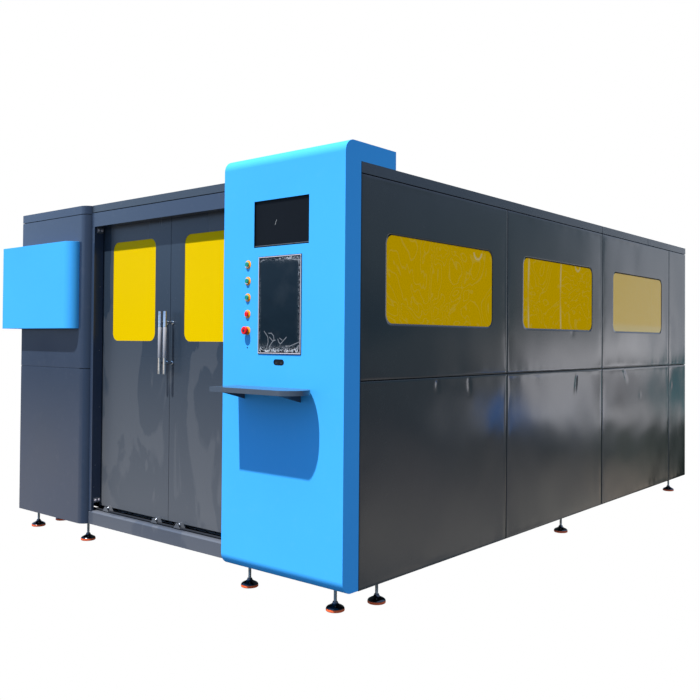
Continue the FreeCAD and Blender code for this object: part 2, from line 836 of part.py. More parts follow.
def estop_stem(height):
    """Plunger of the emergency stop, with the pin that its head turns on."""
    base = mushroom_proud - mushroom_height - mushroom_neck
    reach = stem_length - stem_end_gap
    plunger = upright(stem_diameter / 2, reach + base, 0, 0, -reach)
    pin = upright(stem_diameter / 4, mushroom_height, 0, 0, base)
    return along_button(fused([plunger, pin]), height)


def estop_head(height):
    """Mushroom head that twists on the plunger's pin to release it."""
    base = mushroom_proud - mushroom_height
    head = upright(mushroom_diameter / 2, mushroom_height, 0, 0, base)
    head = head.makeFillet(mushroom_edge_radius, [e for e in head.Edges if e.BoundBox.ZMin > base + 1])
    neck_low = base - mushroom_neck + cap_clearance
    neck = upright(stem_diameter / 2 + 4, mushroom_neck - cap_clearance, 0, 0, neck_low)
    hole = upright(stem_diameter / 4 + fit_clearance, mushroom_height + 1, 0, 0, base - mushroom_neck)
    return along_button(fused([head, neck]).cut(hole), height)


# ---------------------------------------------------------------- left cabinet and pod
def cabinet_outline(inset):
    """Plan of the cabinet skin, moved inwards by inset, as a face on z = 0."""
    radius = cabinet_edge_radius - inset
    lift = radius * (1 - math.sqrt(0.5))
    left = x_left + inset
    front = y_front + cabinet_setback + inset
    right = x_cabinet - inset
    back = y_front + cabinet_back + 1
    edge = ((right - lift, front + lift, 0), (right, front + radius, 0))
    return outline((right - radius, front, 0), edge, (right, back, 0), (left, back, 0), (left, front, 0))


def cabinet_skin(z0, z1, lid=False):
    """Length of the cabinet's folded skin, open towards the machine."""
    outer = cabinet_outline(0).extrude(Vector(0, 0, z1 - z0))
    inner = cabinet_outline(sheet).extrude(Vector(0, 0, z1 - z0 + (-2 * sheet if lid else 2)))
    inner.translate(Vector(0, 0, 0 if lid else -1))
    if lid:
        inner = inner.fuse(inner.translated(Vector(0, 0, -sheet)))
    back = y_front + cabinet_back
    trim = box(x_left - 1, x_cabinet + 1, back, back + 10, -1, z1 - z0 + 1)
    skin = outer.cut([inner, trim])
    tongue = box(x_left, frame_left + post_size, back - sheet, back, 0, z1 - z0)
    pad = box(frame_left, frame_left + post_size, back - sheet, y_post_front, 0, z1 - z0)
    skin = fused([skin, tongue, pad])
    skin.translate(Vector(0, 0, z0))
    return skin


def joint_strips():
    """Strips on the lower panel that close the seam from behind, at the front and at the left side."""
    x0 = x_left + sheet
    x1 = x_cabinet - cabinet_edge_radius
    y0 = y_front + cabinet_setback + sheet
    y1 = y_front + cabinet_back - sheet
    z0 = mid_seam_height - cabinet_strip_reach
    z1 = mid_seam_height + cabinet_strip_reach
    return [box(x0, x1, y0, y0 + sheet, z0, z1), box(x0, x0 + sheet, y0, y1, z0, z1)]


def cabinet_panels():
    """Lower panel, upper panel and cap of the left cabinet."""
    gap = seam_gap / 2
    lower = cabinet_skin(underside_height, mid_seam_height - gap).cut(front_beam_notch())
    lower = fused([lower] + joint_strips())
    upper = cabinet_skin(mid_seam_height + gap, cap_bottom - seam_gap)
    cap = cabinet_skin(cap_bottom, roof_height, lid=True)
    return [lower, upper, cap]


def pod_outline(inset):
    """Plan of the pod, its outer faces moved inwards by inset, as a face on z = 0."""
    radius = pod_edge_radius - inset
    lift = radius * (1 - math.sqrt(0.5))
    front = y_front + cabinet_setback - pod_proud + inset
    back = y_front + cabinet_setback
    side_back = back - pod_proud + pod_side_length - inset
    left = x_left - pod_overhang + inset
    right = x_cabinet - pod_inner_margin - inset
    edge = ((right - lift, front + lift, 0), (right, front + radius, 0))
    return outline((right - radius, front, 0), edge, (right, back, 0), (x_left, back, 0),
                   (x_left, side_back, 0), (left, side_back, 0), (left, front, 0))


def side_pod():
    """Blue cover that wraps the left cabinet's front corner, open towards the cabinet."""
    shell = pod_outline(0).extrude(Vector(0, 0, pod_height))
    hollow = pod_outline(sheet).extrude(Vector(0, 0, pod_height - 2 * sheet))
    shell = shell.cut(placed(hollow, 0, 0, sheet))
    return placed(shell, 0, 0, pod_bottom)


# ---------------------------------------------------------------- doorway
def door_header():
    """Folded header over the doorway, and the jamb beside the cabinet with its return to the leaf."""
    x0 = x_cabinet
    x1 = x_tower
    y1 = y_leaf - guide_clearance - sheet
    top = roof_height - header_cap - seam_gap
    face = box(x0, x1, y_header, y_header + sheet, header_bottom, top)
    soffit = box(x0, x1, y_header, y1, header_bottom, header_bottom + sheet)
    jamb = box(x0, x0 + jamb_width, y_header, y_front + cabinet_back, sill_top, header_bottom)
    jamb_face = x0 + jamb_width
    web_bottom = bracket_top + jamb_web_lift
    web = box(jamb_face - sheet, jamb_face, y_header, y1, web_bottom, header_bottom)
    return [fused([face, soffit]), fused([jamb, web])]


def top_guide():
    """Inverted channel between the front posts that keeps the leaves upright."""
    x0 = frame_left + post_size
    x1 = frame_right - post_size
    inner0 = y_leaf - guide_clearance
    inner1 = y_leaf + door_thickness + guide_clearance
    top = roof_beam_bottom
    channel = box(x0, x1, inner0 - sheet, inner1 + sheet, header_bottom + sheet, top)
    return channel.cut(box(x0 - 1, x1 + 1, inner0, inner1, header_bottom, top - sheet))


def door_sill():
    """Bevelled sill cover over the front beam, carried on behind the cabinet and the tower."""
    x0 = x_cabinet
    x1 = x_tower
    y1 = y_front_beam_back
    bevel = sill_bevel
    under = sill_top - sheet
    outer = [(y_header, underside_height), (y_header, sill_top - bevel), (y_header + bevel, sill_top)]
    inner = [(y_header + bevel + sheet, under), (y_header + sheet, under - bevel + sheet / 2)]
    section = outer + [(y1, sill_top), (y1, under)] + inner + [(y_header + sheet, underside_height)]
    face = prism([(x0, y, z) for y, z in section], (x1 - x0, 0, 0))
    ledge_front = y_post_front + 2 * sheet
    ledge = box(frame_left + post_size, frame_right - post_size, ledge_front, y1, under, sill_top)
    return fused([face, ledge])


def track_rod():
    """Round ground rod that the door rollers run on."""
    x0 = frame_left + post_size
    x1 = frame_right - post_size
    return rod(rod_diameter / 2, x1 - x0, (x0, y_rod, sill_top + rod_diameter / 2), (1, 0, 0))


# ---------------------------------------------------------------- doors
axle_height = sill_top + rod_diameter + roller_tread_radius
left_leaf_x = x_cabinet + jamb_width - left_leaf_lap
right_leaf_x = left_leaf_x + leaf_width + meeting_gap


def roller_bracket(x):
    """Triangular bracket in front of the leaf's lower edge, with the roller's axle."""
    half = bracket_width / 2
    tip = bracket_tip_width / 2
    low = bracket_bottom
    corners = [(x - half, low), (x + half, low), (x + tip, bracket_top), (x - tip, bracket_top)]
    y_back = y_rod + roller_width / 2 + roller_side_gap
    y_cheek = y_rod - roller_width / 2 - roller_side_gap - bracket_thickness
    block = prism([(px, y_back, pz) for px, pz in corners], (0, y_leaf - y_back, 0))
    cheek = prism([(px, y_cheek, pz) for px, pz in corners], (0, bracket_thickness, 0))
    axle = rod(axle_diameter / 2, y_leaf - y_cheek, (x, y_cheek, axle_height), (0, 1, 0))
    return [block, cheek, axle]


def door_leaf(x):
    """Folded door leaf with its window hole and the two roller brackets welded to it."""
    low = door_window_bottom - leaf_bottom
    left = door_window_left_margin
    window = (left, left + door_window_width, low, low + door_window_height)
    leaf = placed(pan(leaf_width, leaf_top - leaf_bottom, door_thickness, window), x, y_leaf, leaf_bottom)
    parts = [leaf]
    for inset in roller_insets:
        parts.extend(roller_bracket(x + inset))
    return fused(parts)


def door_window(x):
    """Pane behind the window hole of a leaf."""
    edge = pane_overlap
    x0 = x + door_window_left_margin - edge
    y0 = y_leaf + sheet
    return box(x0, x0 + door_window_width + 2 * edge, y0, y0 + pane_thickness, door_window_bottom - edge,
               door_window_bottom + door_window_height + edge)


def door_handle(x):
    """Pull bar with a thicker middle grip and two stand-offs."""
    y = y_leaf - handle_standoff
    bar = upright(handle_diameter / 2, handle_length, x, y, handle_bottom)
    grip_bottom = handle_bottom + (handle_length - handle_sleeve_length) / 2
    grip = upright(handle_sleeve_diameter / 2, handle_sleeve_length, x, y, grip_bottom)
    parts = [bar, grip]
    for z in (handle_bottom + standoff_inset, handle_bottom + handle_length - standoff_inset):
        parts.append(rod(standoff_diameter / 2, handle_standoff, (x, y, z), (0, 1, 0)))
    return fused(parts)


def door_roller(x):
    """Grooved roller on its axle, over the track rod."""
    y0 = y_rod - roller_width / 2
    wheel = rod(roller_diameter / 2, roller_width, (x, y0, axle_height), (0, 1, 0))
    bore = rod(axle_diameter / 2 + fit_clearance, roller_width + 2, (x, y0 - 1, axle_height), (0, 1, 0))
    groove_radius = rod_diameter / 2 + roller_groove_clearance
    groove_ring = roller_tread_radius + rod_diameter / 2
    groove = Part.makeTorus(groove_ring, groove_radius, Vector(x, y_rod, axle_height), Vector(0, 1, 0))
    return wheel.cut([bore, groove])


# ---------------------------------------------------------------- cutting bed
bed_x0 = x_middle - bed_width / 2
bed_x1 = x_middle + bed_width / 2
bed_beam_bottom = bed_top - bed_beam_height
bed_inner_width = bed_width - 2 * bed_beam_width
table_y0 = bed_y0 + bed_end_beam_width + slat_pitch / 2


def bed_frame():
    """Two side beams on six legs, joined by an end beam at the front and at the rear."""
    pieces = []
    wall = bed_beam_wall
    for x in (bed_x0, bed_x1 - bed_beam_width):
        beam = (x, x + bed_beam_width, bed_y0, bed_y1, bed_beam_bottom, bed_top)
        pieces.append(hollow_beam(*beam, wall, "y"))
    for x in (bed_x0, bed_x1 - bed_leg_size):
        for y in (bed_y0, (bed_y0 + bed_y1 - bed_leg_size) / 2, bed_y1 - bed_leg_size):
            leg = (x, x + bed_leg_size, y, y + bed_leg_size, tray_top, bed_beam_bottom)
            pieces.append(hollow_beam(*leg, wall, "z"))
    x0 = bed_x0 + bed_beam_width
    x1 = bed_x1 - bed_beam_width
    for y in (bed_y0, bed_y1 - bed_end_beam_width):
        end = (x0, x1, y, y + bed_end_beam_width, bed_beam_bottom, bed_beam_bottom + bed_end_beam_height)
        pieces.append(hollow_beam(*end, wall, "x"))
    return pieces


def slat_places():
    """Centres of the slats along the bed."""
    return [table_y0 + slat_pitch * i for i in range(slat_count)]


comb_top = bed_top - 2 * slat_tooth_depth
comb_slot_bottom = comb_top - comb_slot_depth


def slat_combs():
    """Slotted strip on the inner face of each side beam; the slats drop into its slots."""
    y0 = table_y0 - slat_pitch / 2
    length = slat_pitch * slat_count
    half = slat_thickness / 2 + slat_slot_clearance
    low = comb_top - comb_height
    points = [(0, y0, low), (0, y0 + length, low), (0, y0 + length, comb_top)]
    for y in reversed(slat_places()):
        points += [(0, y + half, comb_top), (0, y + half, comb_slot_bottom)]
        points += [(0, y - half, comb_slot_bottom), (0, y - half, comb_top)]
    points.append((0, y0, comb_top))
    comb = prism(points, (comb_thickness, 0, 0))
    left = bed_x0 + bed_beam_width
    right = bed_x1 - bed_beam_width - comb_thickness
    return [placed(comb, left, 0, 0), placed(comb, right, 0, 0)]


def cutting_slats():
    """Thin upright slats with pointed tips that the sheet lies on."""
    tips = int((bed_inner_width - 2 * slat_tooth_pitch) / slat_tooth_pitch)
    x0 = bed_x0 + bed_beam_width + slat_slot_clearance
    x1 = bed_x1 - bed_beam_width - slat_slot_clearance
    first = x_middle - tips * slat_tooth_pitch / 2
    low = bed_top - slat_height
    valley = bed_top - slat_tooth_depth
    neck0 = x0 + 2 * comb_thickness
    neck1 = x1 - 2 * comb_thickness
    ledge = comb_slot_bottom
    points = [(x0, ledge), (neck0, ledge), (neck0, low)]
    points += [(neck1, low), (neck1, ledge), (x1, ledge), (x1, valley)]
    for i in range(tips, 0, -1):
        points.append((first + i * slat_tooth_pitch, valley))
        points.append((first + (i - 0.5) * slat_tooth_pitch, bed_top))
    points += [(first, valley), (x0, valley)]
    slat = prism([(x, 0, z) for x, z in points], (0, slat_thickness, 0))
    return [placed(slat, 0, y - slat_thickness / 2, 0) for y in slat_places()]


rail_x = bed_width / 2 - rail_from_edge
rack_pitch_x = rail_x + rail_width / 2 + rail_rack_gap + rack_width
pinion_x = rack_pitch_x + pitch_radius + centre_clearance


def bed_rails():
    """Linear guide rail on each side beam."""
    half = rail_width / 2
    centres = [x_middle - rail_x, x_middle + rail_x]
    return [box(x - half, x + half, bed_y0, bed_y1, bed_top, bed_top + rail_height) for x in centres]


pinion_y = gantry_y + gantry_beam_depth / 2 + motor_offset
rack_start = pinion_y - tooth_pitch * round((pinion_y - bed_y0) / tooth_pitch - 1)


def bed_racks():
    """Toothed rack beside each rail, teeth outwards, with a tooth level with the parked pinion."""
    length = bed_y1 - rack_start
    bar = rack(length)
    right = placed(bar, 0, 0, 0, -90)
    right.translate(Vector(x_middle + rack_pitch_x, bed_y1, bed_top))
    shift = (bed_y1 - pinion_y) % tooth_pitch
    right.translate(Vector(0, -shift, 0))
    left = right.mirror(Vector(x_middle, 0, 0), Vector(1, 0, 0))
    return [left, right]


# ---------------------------------------------------------------- gantry
beam_front = gantry_y - gantry_beam_depth / 2
beam_back = gantry_y + gantry_beam_depth / 2
beam_top = gantry_beam_bottom + gantry_beam_height
block_top = bed_top + rail_height + bearing_clearance + bearing_block_roof
motor_plate_top = block_top + motor_plate_thickness
beam_rail_heights = (gantry_beam_bottom + beam_rail_inset, beam_top - beam_rail_inset)
beam_rack_pitch_z = gantry_beam_bottom + gantry_beam_height / 2 + beam_rack_rise
carriage_pinion_z = beam_rack_pitch_z - pitch_radius - centre_clearance
carriage_pinion_x = x_middle - carriage_pinion_shift


def bearing_block(x, y):
    """Guide block astride a bed rail."""
    low = bed_top + rail_height - bearing_block_overlap
    half = bearing_block_length / 2
    block = box(x - bearing_block_width / 2, x + bearing_block_width / 2, y - half, y + half, low, block_top)
    gap = rail_width / 2 + bearing_clearance
    slot_top = bed_top + rail_height + bearing_clearance
    return block.cut(box(x - gap, x + gap, y - half - 1, y + half + 1, low - 1, slot_top))


def gantry_beam():
    """Box beam across the bed, on a foot and two guide blocks at each end, with its motor plates."""
    beam = (bed_x0, bed_x1, beam_front, beam_back, gantry_beam_bottom, beam_top)
    parts = [hollow_beam(*beam, gantry_beam_wall, "x")]
    for side in (-1, 1):
        inner = x_middle + side * (rail_x - bearing_block_width / 2 - beam_foot_margin)
        outer = x_middle + side * bed_width / 2
        x0 = min(inner, outer)
        x1 = max(inner, outer)
        parts.append(box(x0, x1, beam_front, beam_back, block_top, gantry_beam_bottom))
        x = x_middle + side * rail_x
        for y in (beam_front + bearing_block_length / 2, beam_back - bearing_block_length / 2):
            parts.append(bearing_block(x, y))
        plate_end = pinion_y + motor_size / 2 + beam_foot_margin
        plate = box(x0, x1, beam_back, plate_end, block_top, motor_plate_top)
        hole_radius = pinion_shaft_diameter / 2 + shaft_hole_clearance
        hole_x = x_middle + side * pinion_x
        hole = upright(hole_radius, motor_plate_thickness + 2, hole_x, pinion_y, block_top - 1)
        parts.append(plate.cut(hole))
    return fused(parts)


def beam_rails():
    """Two guide rails and the rack on the front face of the beam."""
    x0 = bed_x0 + bed_beam_width
    x1 = bed_x1 - bed_beam_width
    half = beam_rail_size / 2
    rail_front = beam_front - beam_rail_size
    pieces = [box(x0, x1, rail_front, beam_front, z - half, z + half) for z in beam_rail_heights]
    teeth_left = int((carriage_pinion_x - x0) / tooth_pitch)
    start = carriage_pinion_x - teeth_left * tooth_pitch
    bar = rack(x1 - start)
    bar.rotate(Vector(0, 0, 0), Vector(1, 0, 0), -90)
    bar.translate(Vector(start, beam_front - rack_height, beam_rack_pitch_z))
    pieces.append(bar)
    return pieces


def gantry_motors():
    """Servo motor with its gearbox on each motor plate, bored for the pinion shaft."""
    motors = []
    z0 = motor_plate_top
    half = gearbox_size / 2
    for side in (-1, 1):
        x = x_middle + side * pinion_x
        gearbox = box(x - half, x + half, pinion_y - half, pinion_y + half, z0, z0 + gearbox_length)
        motor = upright(motor_body_radius, motor_length - gearbox_length, x, pinion_y, z0 + gearbox_length)
        bore = upright(pinion_shaft_diameter / 2 + fit_clearance, motor_bore_depth + 1, x, pinion_y, z0 - 1)
        motors.append(fused([gearbox, motor]).cut(bore))
    return motors


def bed_pinion(side):
    """Pinion in mesh with the rack on one side of the bed."""
    low = bed_top + pinion_lift
    shaft_top = motor_plate_top + motor_bore_depth - shaft_end_gap
    gear_top = low + rack_height - 2 * pinion_lift
    turn = 180 if side > 0 else 0
    gear = pinion(pinion_shaft_diameter / 2, shaft_top - gear_top)
    return placed(gear, x_middle + side * pinion_x, pinion_y, low, turn)


# ---------------------------------------------------------------- head carriage
plate_back = beam_front - beam_rail_size - carriage_gap
plate_front = plate_back - carriage_plate
slide_x = x_middle + slide_shift
slide_back = plate_front - slide_gap
slide_front = slide_back - slide_plate
screw_y = (plate_front + slide_back) / 2
carriage_top = carriage_bottom + carriage_height
screw_top = carriage_top
screw_bracket_top = screw_top + screw_bracket_thickness
bracket_front = screw_y - screw_bracket_reach
slide_rail_x = slide_width / 2 - slide_rail_size


def rail_runner(x, z):
    """Block behind the carriage plate, astride the beam rail whose middle is at height z."""
    gap = beam_rail_size / 2 + bearing_clearance
    reach = beam_rail_size / 2 + runner_wall
    slot_front = beam_front - beam_rail_size - bearing_clearance
    block = box(x, x + runner_length, plate_back, beam_front - beam_rail_root_gap, z - reach, z + reach)
    return block.cut(box(x - 1, x + runner_length + 1, slot_front, beam_front, z - gap, z + gap))


def head_carriage():
    """Plate on four blocks that ride the beam rails, with the upright rails for the head slide."""
    x0 = x_middle - carriage_width / 2
    x1 = x_middle + carriage_width / 2
    parts = [box(x0, x1, plate_front, plate_back, carriage_bottom, carriage_top)]
    for z in beam_rail_heights:
        for x in (x0 + runner_inset, x1 - runner_inset - runner_length):
            parts.append(rail_runner(x, z))
    half = slide_rail_size / 2
    for side in (-1, 1):
        x = slide_x + side * slide_rail_x
        rail_front = plate_front - slide_rail_size
        parts.append(box(x - half, x + half, rail_front, plate_front, carriage_bottom, carriage_top))
    half = z_motor_size / 2
    bracket = box(slide_x - half, slide_x + half, bracket_front, plate_back, screw_top, screw_bracket_top)
    hole_radius = screw_journal_diameter / 2 + fit_clearance
    hole = upright(hole_radius, screw_bracket_thickness + 2, slide_x, screw_y, screw_top - 1)
    parts.append(bracket.cut(hole))
    start = (carriage_pinion_x, plate_front - 1, carriage_pinion_z)
    passage = rod(pinion_shaft_diameter / 2 + shaft_hole_clearance, carriage_plate + 2, start, (0, 1, 0))
    return fused(parts).cut(passage)


def carriage_motors():
    """Cross-travel motor on the carriage plate and lift motor above the screw."""
    half = gearbox_size / 2
    x = carriage_pinion_x
    z = carriage_pinion_z
    cross = box(x - half, x + half, plate_front - cross_motor_length, plate_front, z - half, z + half)
    start = (x, plate_front - motor_bore_depth, z)
    bore = rod(pinion_shaft_diameter / 2 + fit_clearance, motor_bore_depth + 1, start, (0, 1, 0))
    x0 = slide_x - z_motor_size / 2
    z0 = screw_bracket_top
    lift = box(x0, x0 + z_motor_size, bracket_front, bracket_front + z_motor_size, z0, z0 + z_motor_length)
    pocket_radius = screw_journal_diameter / 2 + fit_clearance
    pocket = upright(pocket_radius, screw_journal_length, slide_x, screw_y, z0 - 1)
    return [cross.cut(bore), lift.cut(pocket)]


def carriage_pinion():
    """Pinion in mesh with the rack on the beam, its shaft through the carriage plate."""
    gear_length = rack_height - 2 * pinion_lift
    gear_front = beam_front - rack_height + pinion_lift
    shaft_length = gear_front - (plate_front - motor_bore_depth + shaft_end_gap)
    gear = pinion(pinion_shaft_diameter / 2, shaft_length)
    gear.rotate(Vector(0, 0, 0), Vector(0, 0, 1), 90)
    gear.rotate(Vector(0, 0, 0), Vector(1, 0, 0), 90)
    gear.translate(Vector(carriage_pinion_x, gear_front + gear_length, carriage_pinion_z))
    return gear


def head_slide():
    """Plate that lifts the cutting head, with its runners and screw nut."""
    x0 = slide_x - slide_width / 2
    slide_top = slide_bottom + slide_height
    parts = [box(x0, x0 + slide_width, slide_front, slide_back, slide_bottom, slide_top)]
    gap = slide_rail_size / 2 + bearing_clearance
    slot_front = plate_front - slide_rail_size - bearing_clearance
    for side in (-1, 1):
        x = slide_x + side * slide_rail_x
        for rise in slide_runner_heights:
            z0 = slide_bottom + rise
            z1 = z0 + slide_runner_length
            reach = gap + slide_runner_wall
            runner = box(x - reach, x + reach, slide_back, plate_front - beam_rail_root_gap, z0, z1)
            parts.append(runner.cut(box(x - gap, x + gap, slot_front, plate_front, z0 - 1, z1 + 1)))
    half = nut_block_size / 2
    z0 = slide_bottom + nut_height_on_slide
    z1 = z0 + nut_block_height
    nut = box(slide_x - half, slide_x + half, slide_back, screw_y + half - 2, z0, z1)
    hole = upright(screw_diameter / 2 + fit_clearance, nut_block_height + 2, slide_x, screw_y, z0 - 1)
    parts.append(nut.cut(hole))
    return fused(parts)


def lift_screw():
    """Lift screw with the journal that turns in the carriage."""
    shoulder = screw_top - cap_clearance
    screw = upright(screw_diameter / 2, shoulder - screw_bottom, slide_x, screw_y, screw_bottom)
    journal_length = screw_journal_length - shaft_end_gap
    journal = upright(screw_journal_diameter / 2, journal_length, slide_x, screw_y, shoulder)
    return fused([screw, journal])


def cutting_head():
    """Head body on the slide, tapering to the nozzle."""
    half = head_size / 2
    y = slide_front - half
    taper_low = nozzle_tip_height + nozzle_length
    body_low = taper_low + head_taper_length
    body_top = body_low + head_height
    body = box(slide_x - half, slide_x + half, slide_front - head_size, slide_front, body_low, body_top)
    up = Vector(0, 0, 1)
    taper_start = Vector(slide_x, y, taper_low)
    taper = Part.makeCone(nozzle_top_radius, half - 4, head_taper_length, taper_start, up)
    tip = Vector(slide_x, y, nozzle_tip_height)
    nozzle = Part.makeCone(nozzle_tip_radius, nozzle_top_radius, nozzle_length, tip, up)
    fibre_socket = upright(fibre_socket_radius, fibre_socket_length, slide_x, y, body_top)
    return fused([body, taper, nozzle, fibre_socket])


# ---------------------------------------------------------------- rear bay
def rear_unit(x0, width, depth, height):
    """Closed sheet-steel case on the floor tray, just in front of the rear posts."""
    y1 = y_rear - panel_flange - post_size - rear_unit_clearance
    return closed_case(x0, x0 + width, y1 - depth, y1, tray_top, tray_top + height, sheet)


def laser_source():
    """Laser source, on the tower's side of the rear bay."""
    x0 = x_middle + source_from_middle - source_width / 2
    return rear_unit(x0, source_width, source_depth, source_height)


def electrical_cabinet():
    """Electrical cabinet, on the left side of the rear bay."""
    x0 = x_middle - electrics_from_middle - electrics_width / 2
    return rear_unit(x0, electrics_width, electrics_depth, electrics_height)


# ---------------------------------------------------------------- the nodes
def assembly():
    """Every sub-part by name."""
    heights = button_heights()
    feet = foot_places()
    nodes = {
        "base_frame": base_frame(),
        "enclosure_frame": enclosure_frame(),
        "floor_tray": [floor_tray()],
        "right_upper_panels": right_upper_panels(),
        "right_lower_panels": right_lower_panels(),
        "right_windows": right_windows(),
        "left_panels": left_panels(),
        "rear_panels": rear_panels(),
        "roof_covers": roof_covers(),
        "exhaust_spigot": [exhaust_spigot()],
        "tower_shell": [tower_shell()],
        "upper_monitor": [upper_monitor()],
        "lower_monitor": [lower_monitor()],
        "lower_monitor_frame": [lower_monitor_frame()],
        "keyboard_shelf": [keyboard_shelf()],
        "button_rings": [button_ring(z) for z in heights],
        "button_bodies": [button_body(z) for z in heights],
        "estop_stem": [estop_stem(heights[4])],
        "estop_head": [estop_head(heights[4])],
        "cabinet_panels": cabinet_panels(),
        "side_pod": [side_pod()],
        "door_header": door_header(),
        "top_guide": [top_guide()],
        "door_sill": [door_sill()],
        "track_rod": [track_rod()],
        "foot_pads": [rod(pad_diameter / 2, pad_thickness, (x, y, 0), (0, 0, 1)) for x, y in feet],
        "foot_studs": [foot_stud(x, y) for x, y in feet],
        "foot_nuts": [foot_nut(x, y) for x, y in feet],
        "bed_frame": bed_frame(),
        "bed_rails": bed_rails(),
        "bed_racks": bed_racks(),
        "slat_combs": slat_combs(),
        "cutting_slats": cutting_slats(),
        "gantry_beam": [gantry_beam()],
        "beam_rails": beam_rails(),
        "gantry_motors": gantry_motors(),
        "left_pinion": [bed_pinion(-1)],
        "right_pinion": [bed_pinion(1)],
        "head_carriage": [head_carriage()],
        "carriage_motors": carriage_motors(),
        "carriage_pinion": [carriage_pinion()],
        "head_slide": [head_slide()],
        "lift_screw": [lift_screw()],
        "cutting_head": [cutting_head()],
        "laser_source": [laser_source()],
        "electrical_cabinet": [electrical_cabinet()],
    }
    for number in range(4):
        nodes[f"push_button_{number + 1}"] = [button_cap(heights[number])]
    left_handle_x = left_leaf_x + leaf_width - handle_edge_inset
    right_handle_x = right_leaf_x + handle_edge_inset
    for side, x, handle_x in (("left", left_leaf_x, left_handle_x), ("right", right_leaf_x, right_handle_x)):
        nodes[f"{side}_door_leaf"] = [door_leaf(x)]
        nodes[f"{side}_door_window"] = [door_window(x)]
        nodes[f"{side}_door_handle"] = [door_handle(handle_x)]
        for number, inset in enumerate(roller_insets):
            nodes[f"{side}_door_roller_{number + 1}"] = [door_roller(x + inset)]
    return nodes


def save(name, solids):
    """Write one sub-part as a STEP file."""
    shape = solids[0] if len(solids) == 1 else Part.makeCompound(solids)
    shape.exportStep(f"parts/{name}.step")


os.makedirs("parts", exist_ok=True)
for node_name, node_solids in assembly().items():
    save(node_name, node_solids)
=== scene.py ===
import json
import math

import bmesh
import bpy
import numpy as np
from mathutils import Matrix, Vector

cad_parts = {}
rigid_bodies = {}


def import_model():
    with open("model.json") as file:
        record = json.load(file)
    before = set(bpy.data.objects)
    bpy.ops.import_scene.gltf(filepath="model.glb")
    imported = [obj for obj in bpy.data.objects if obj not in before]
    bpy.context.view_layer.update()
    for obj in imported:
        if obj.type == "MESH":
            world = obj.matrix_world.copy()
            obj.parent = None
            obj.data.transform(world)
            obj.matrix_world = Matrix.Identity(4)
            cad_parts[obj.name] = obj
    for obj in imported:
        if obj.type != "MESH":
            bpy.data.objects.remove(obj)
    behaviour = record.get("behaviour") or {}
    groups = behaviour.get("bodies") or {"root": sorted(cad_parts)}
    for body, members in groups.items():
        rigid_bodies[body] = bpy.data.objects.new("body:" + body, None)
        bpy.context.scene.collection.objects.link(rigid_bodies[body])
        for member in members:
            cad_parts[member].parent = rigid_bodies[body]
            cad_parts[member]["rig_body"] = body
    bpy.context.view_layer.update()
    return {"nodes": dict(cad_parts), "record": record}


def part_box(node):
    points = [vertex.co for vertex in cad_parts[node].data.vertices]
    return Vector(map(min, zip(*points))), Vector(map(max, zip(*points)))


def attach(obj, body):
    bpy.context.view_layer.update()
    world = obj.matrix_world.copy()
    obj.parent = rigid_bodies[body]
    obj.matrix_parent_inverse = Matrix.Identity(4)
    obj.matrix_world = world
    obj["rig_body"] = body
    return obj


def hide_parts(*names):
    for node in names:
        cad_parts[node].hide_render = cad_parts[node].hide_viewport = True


# Looks of the enclosed laser cutter: folded sheet metal under powder coat, film-covered safety
# windows, a control tower with screens and buttons, levelling feet, and the cutting bed inside.
# Everything is in metres.  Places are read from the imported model's own nodes.

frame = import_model()
nodes = frame["nodes"]

tower_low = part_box("tower_shell")[0]
pane_lap = 0.015              # how far a pane reaches behind the edge of its window hole
sheet = 0.002                 # thickness of the folded steel


# ---------------------------------------------------------------- shapes
def patch(points, wrap_rows=False, wrap_columns=False):
    """Grid of points as vertices and four-sided faces, one face to a cell of the grid."""
    rows, columns = points.shape[:2]
    index = np.arange(rows * columns).reshape(rows, columns)
    if wrap_rows:
        index = np.vstack([index, index[:1]])
    if wrap_columns:
        index = np.hstack([index, index[:, :1]])
    corners = [index[:-1, :-1], index[1:, :-1], index[1:, 1:], index[:-1, 1:]]
    return points.reshape(-1, 3), np.stack(corners, axis=-1).reshape(-1, 4)


def lathe(profile, origin, axis=(0, 0, 1), steps=32):
    """Surface of revolution: every (radius, height) of the profile goes once round the axis."""
    profile = np.array(profile, float)
    along = np.array(axis, float)
    side = np.cross(along, (1, 0, 0) if abs(along[0]) < 0.9 else (0, 1, 0))
    side /= np.linalg.norm(side)
    other = np.cross(along, side)
    angle = np.linspace(0, 2 * math.pi, steps, endpoint=False)[:, None]
    ring = np.cos(angle) * side + np.sin(angle) * other
    points = np.array(origin, float) + profile[:, None, :1] * ring + profile[:, None, 1:] * along
    return patch(points, wrap_columns=True)


def rounded_block(low, high, radius, steps=3):
    """Box with round edges: a small ball is cut in eight and its parts moved out to the box's corners."""
    low = np.array(low, float)
    high = np.array(high, float)
    core = (high - low) / 2 - radius
    quarter = np.linspace(0, math.pi / 2, steps)
    turn = np.concatenate([quarter + k * math.pi / 2 for k in range(4)])
    sign_x = np.repeat([1, -1, -1, 1], steps)
    sign_y = np.repeat([1, 1, -1, -1], steps)
    rise = np.concatenate([quarter - math.pi / 2, quarter])[:, None]
    sign_z = np.repeat([-1, 1], steps)[:, None]
    x = sign_x * core[0] + radius * np.cos(rise) * np.cos(turn)
    y = sign_y * core[1] + radius * np.cos(rise) * np.sin(turn)
    z = sign_z * core[2] + radius * np.sin(rise) + 0 * turn
    verts, faces = patch(np.stack([x, y, z], axis=-1) + (low + high) / 2, wrap_columns=True)
    ends = steps * np.arange(4)
    top = ends + len(verts) - 4 * steps
    return verts, np.vstack([faces, ends[::-1], top])


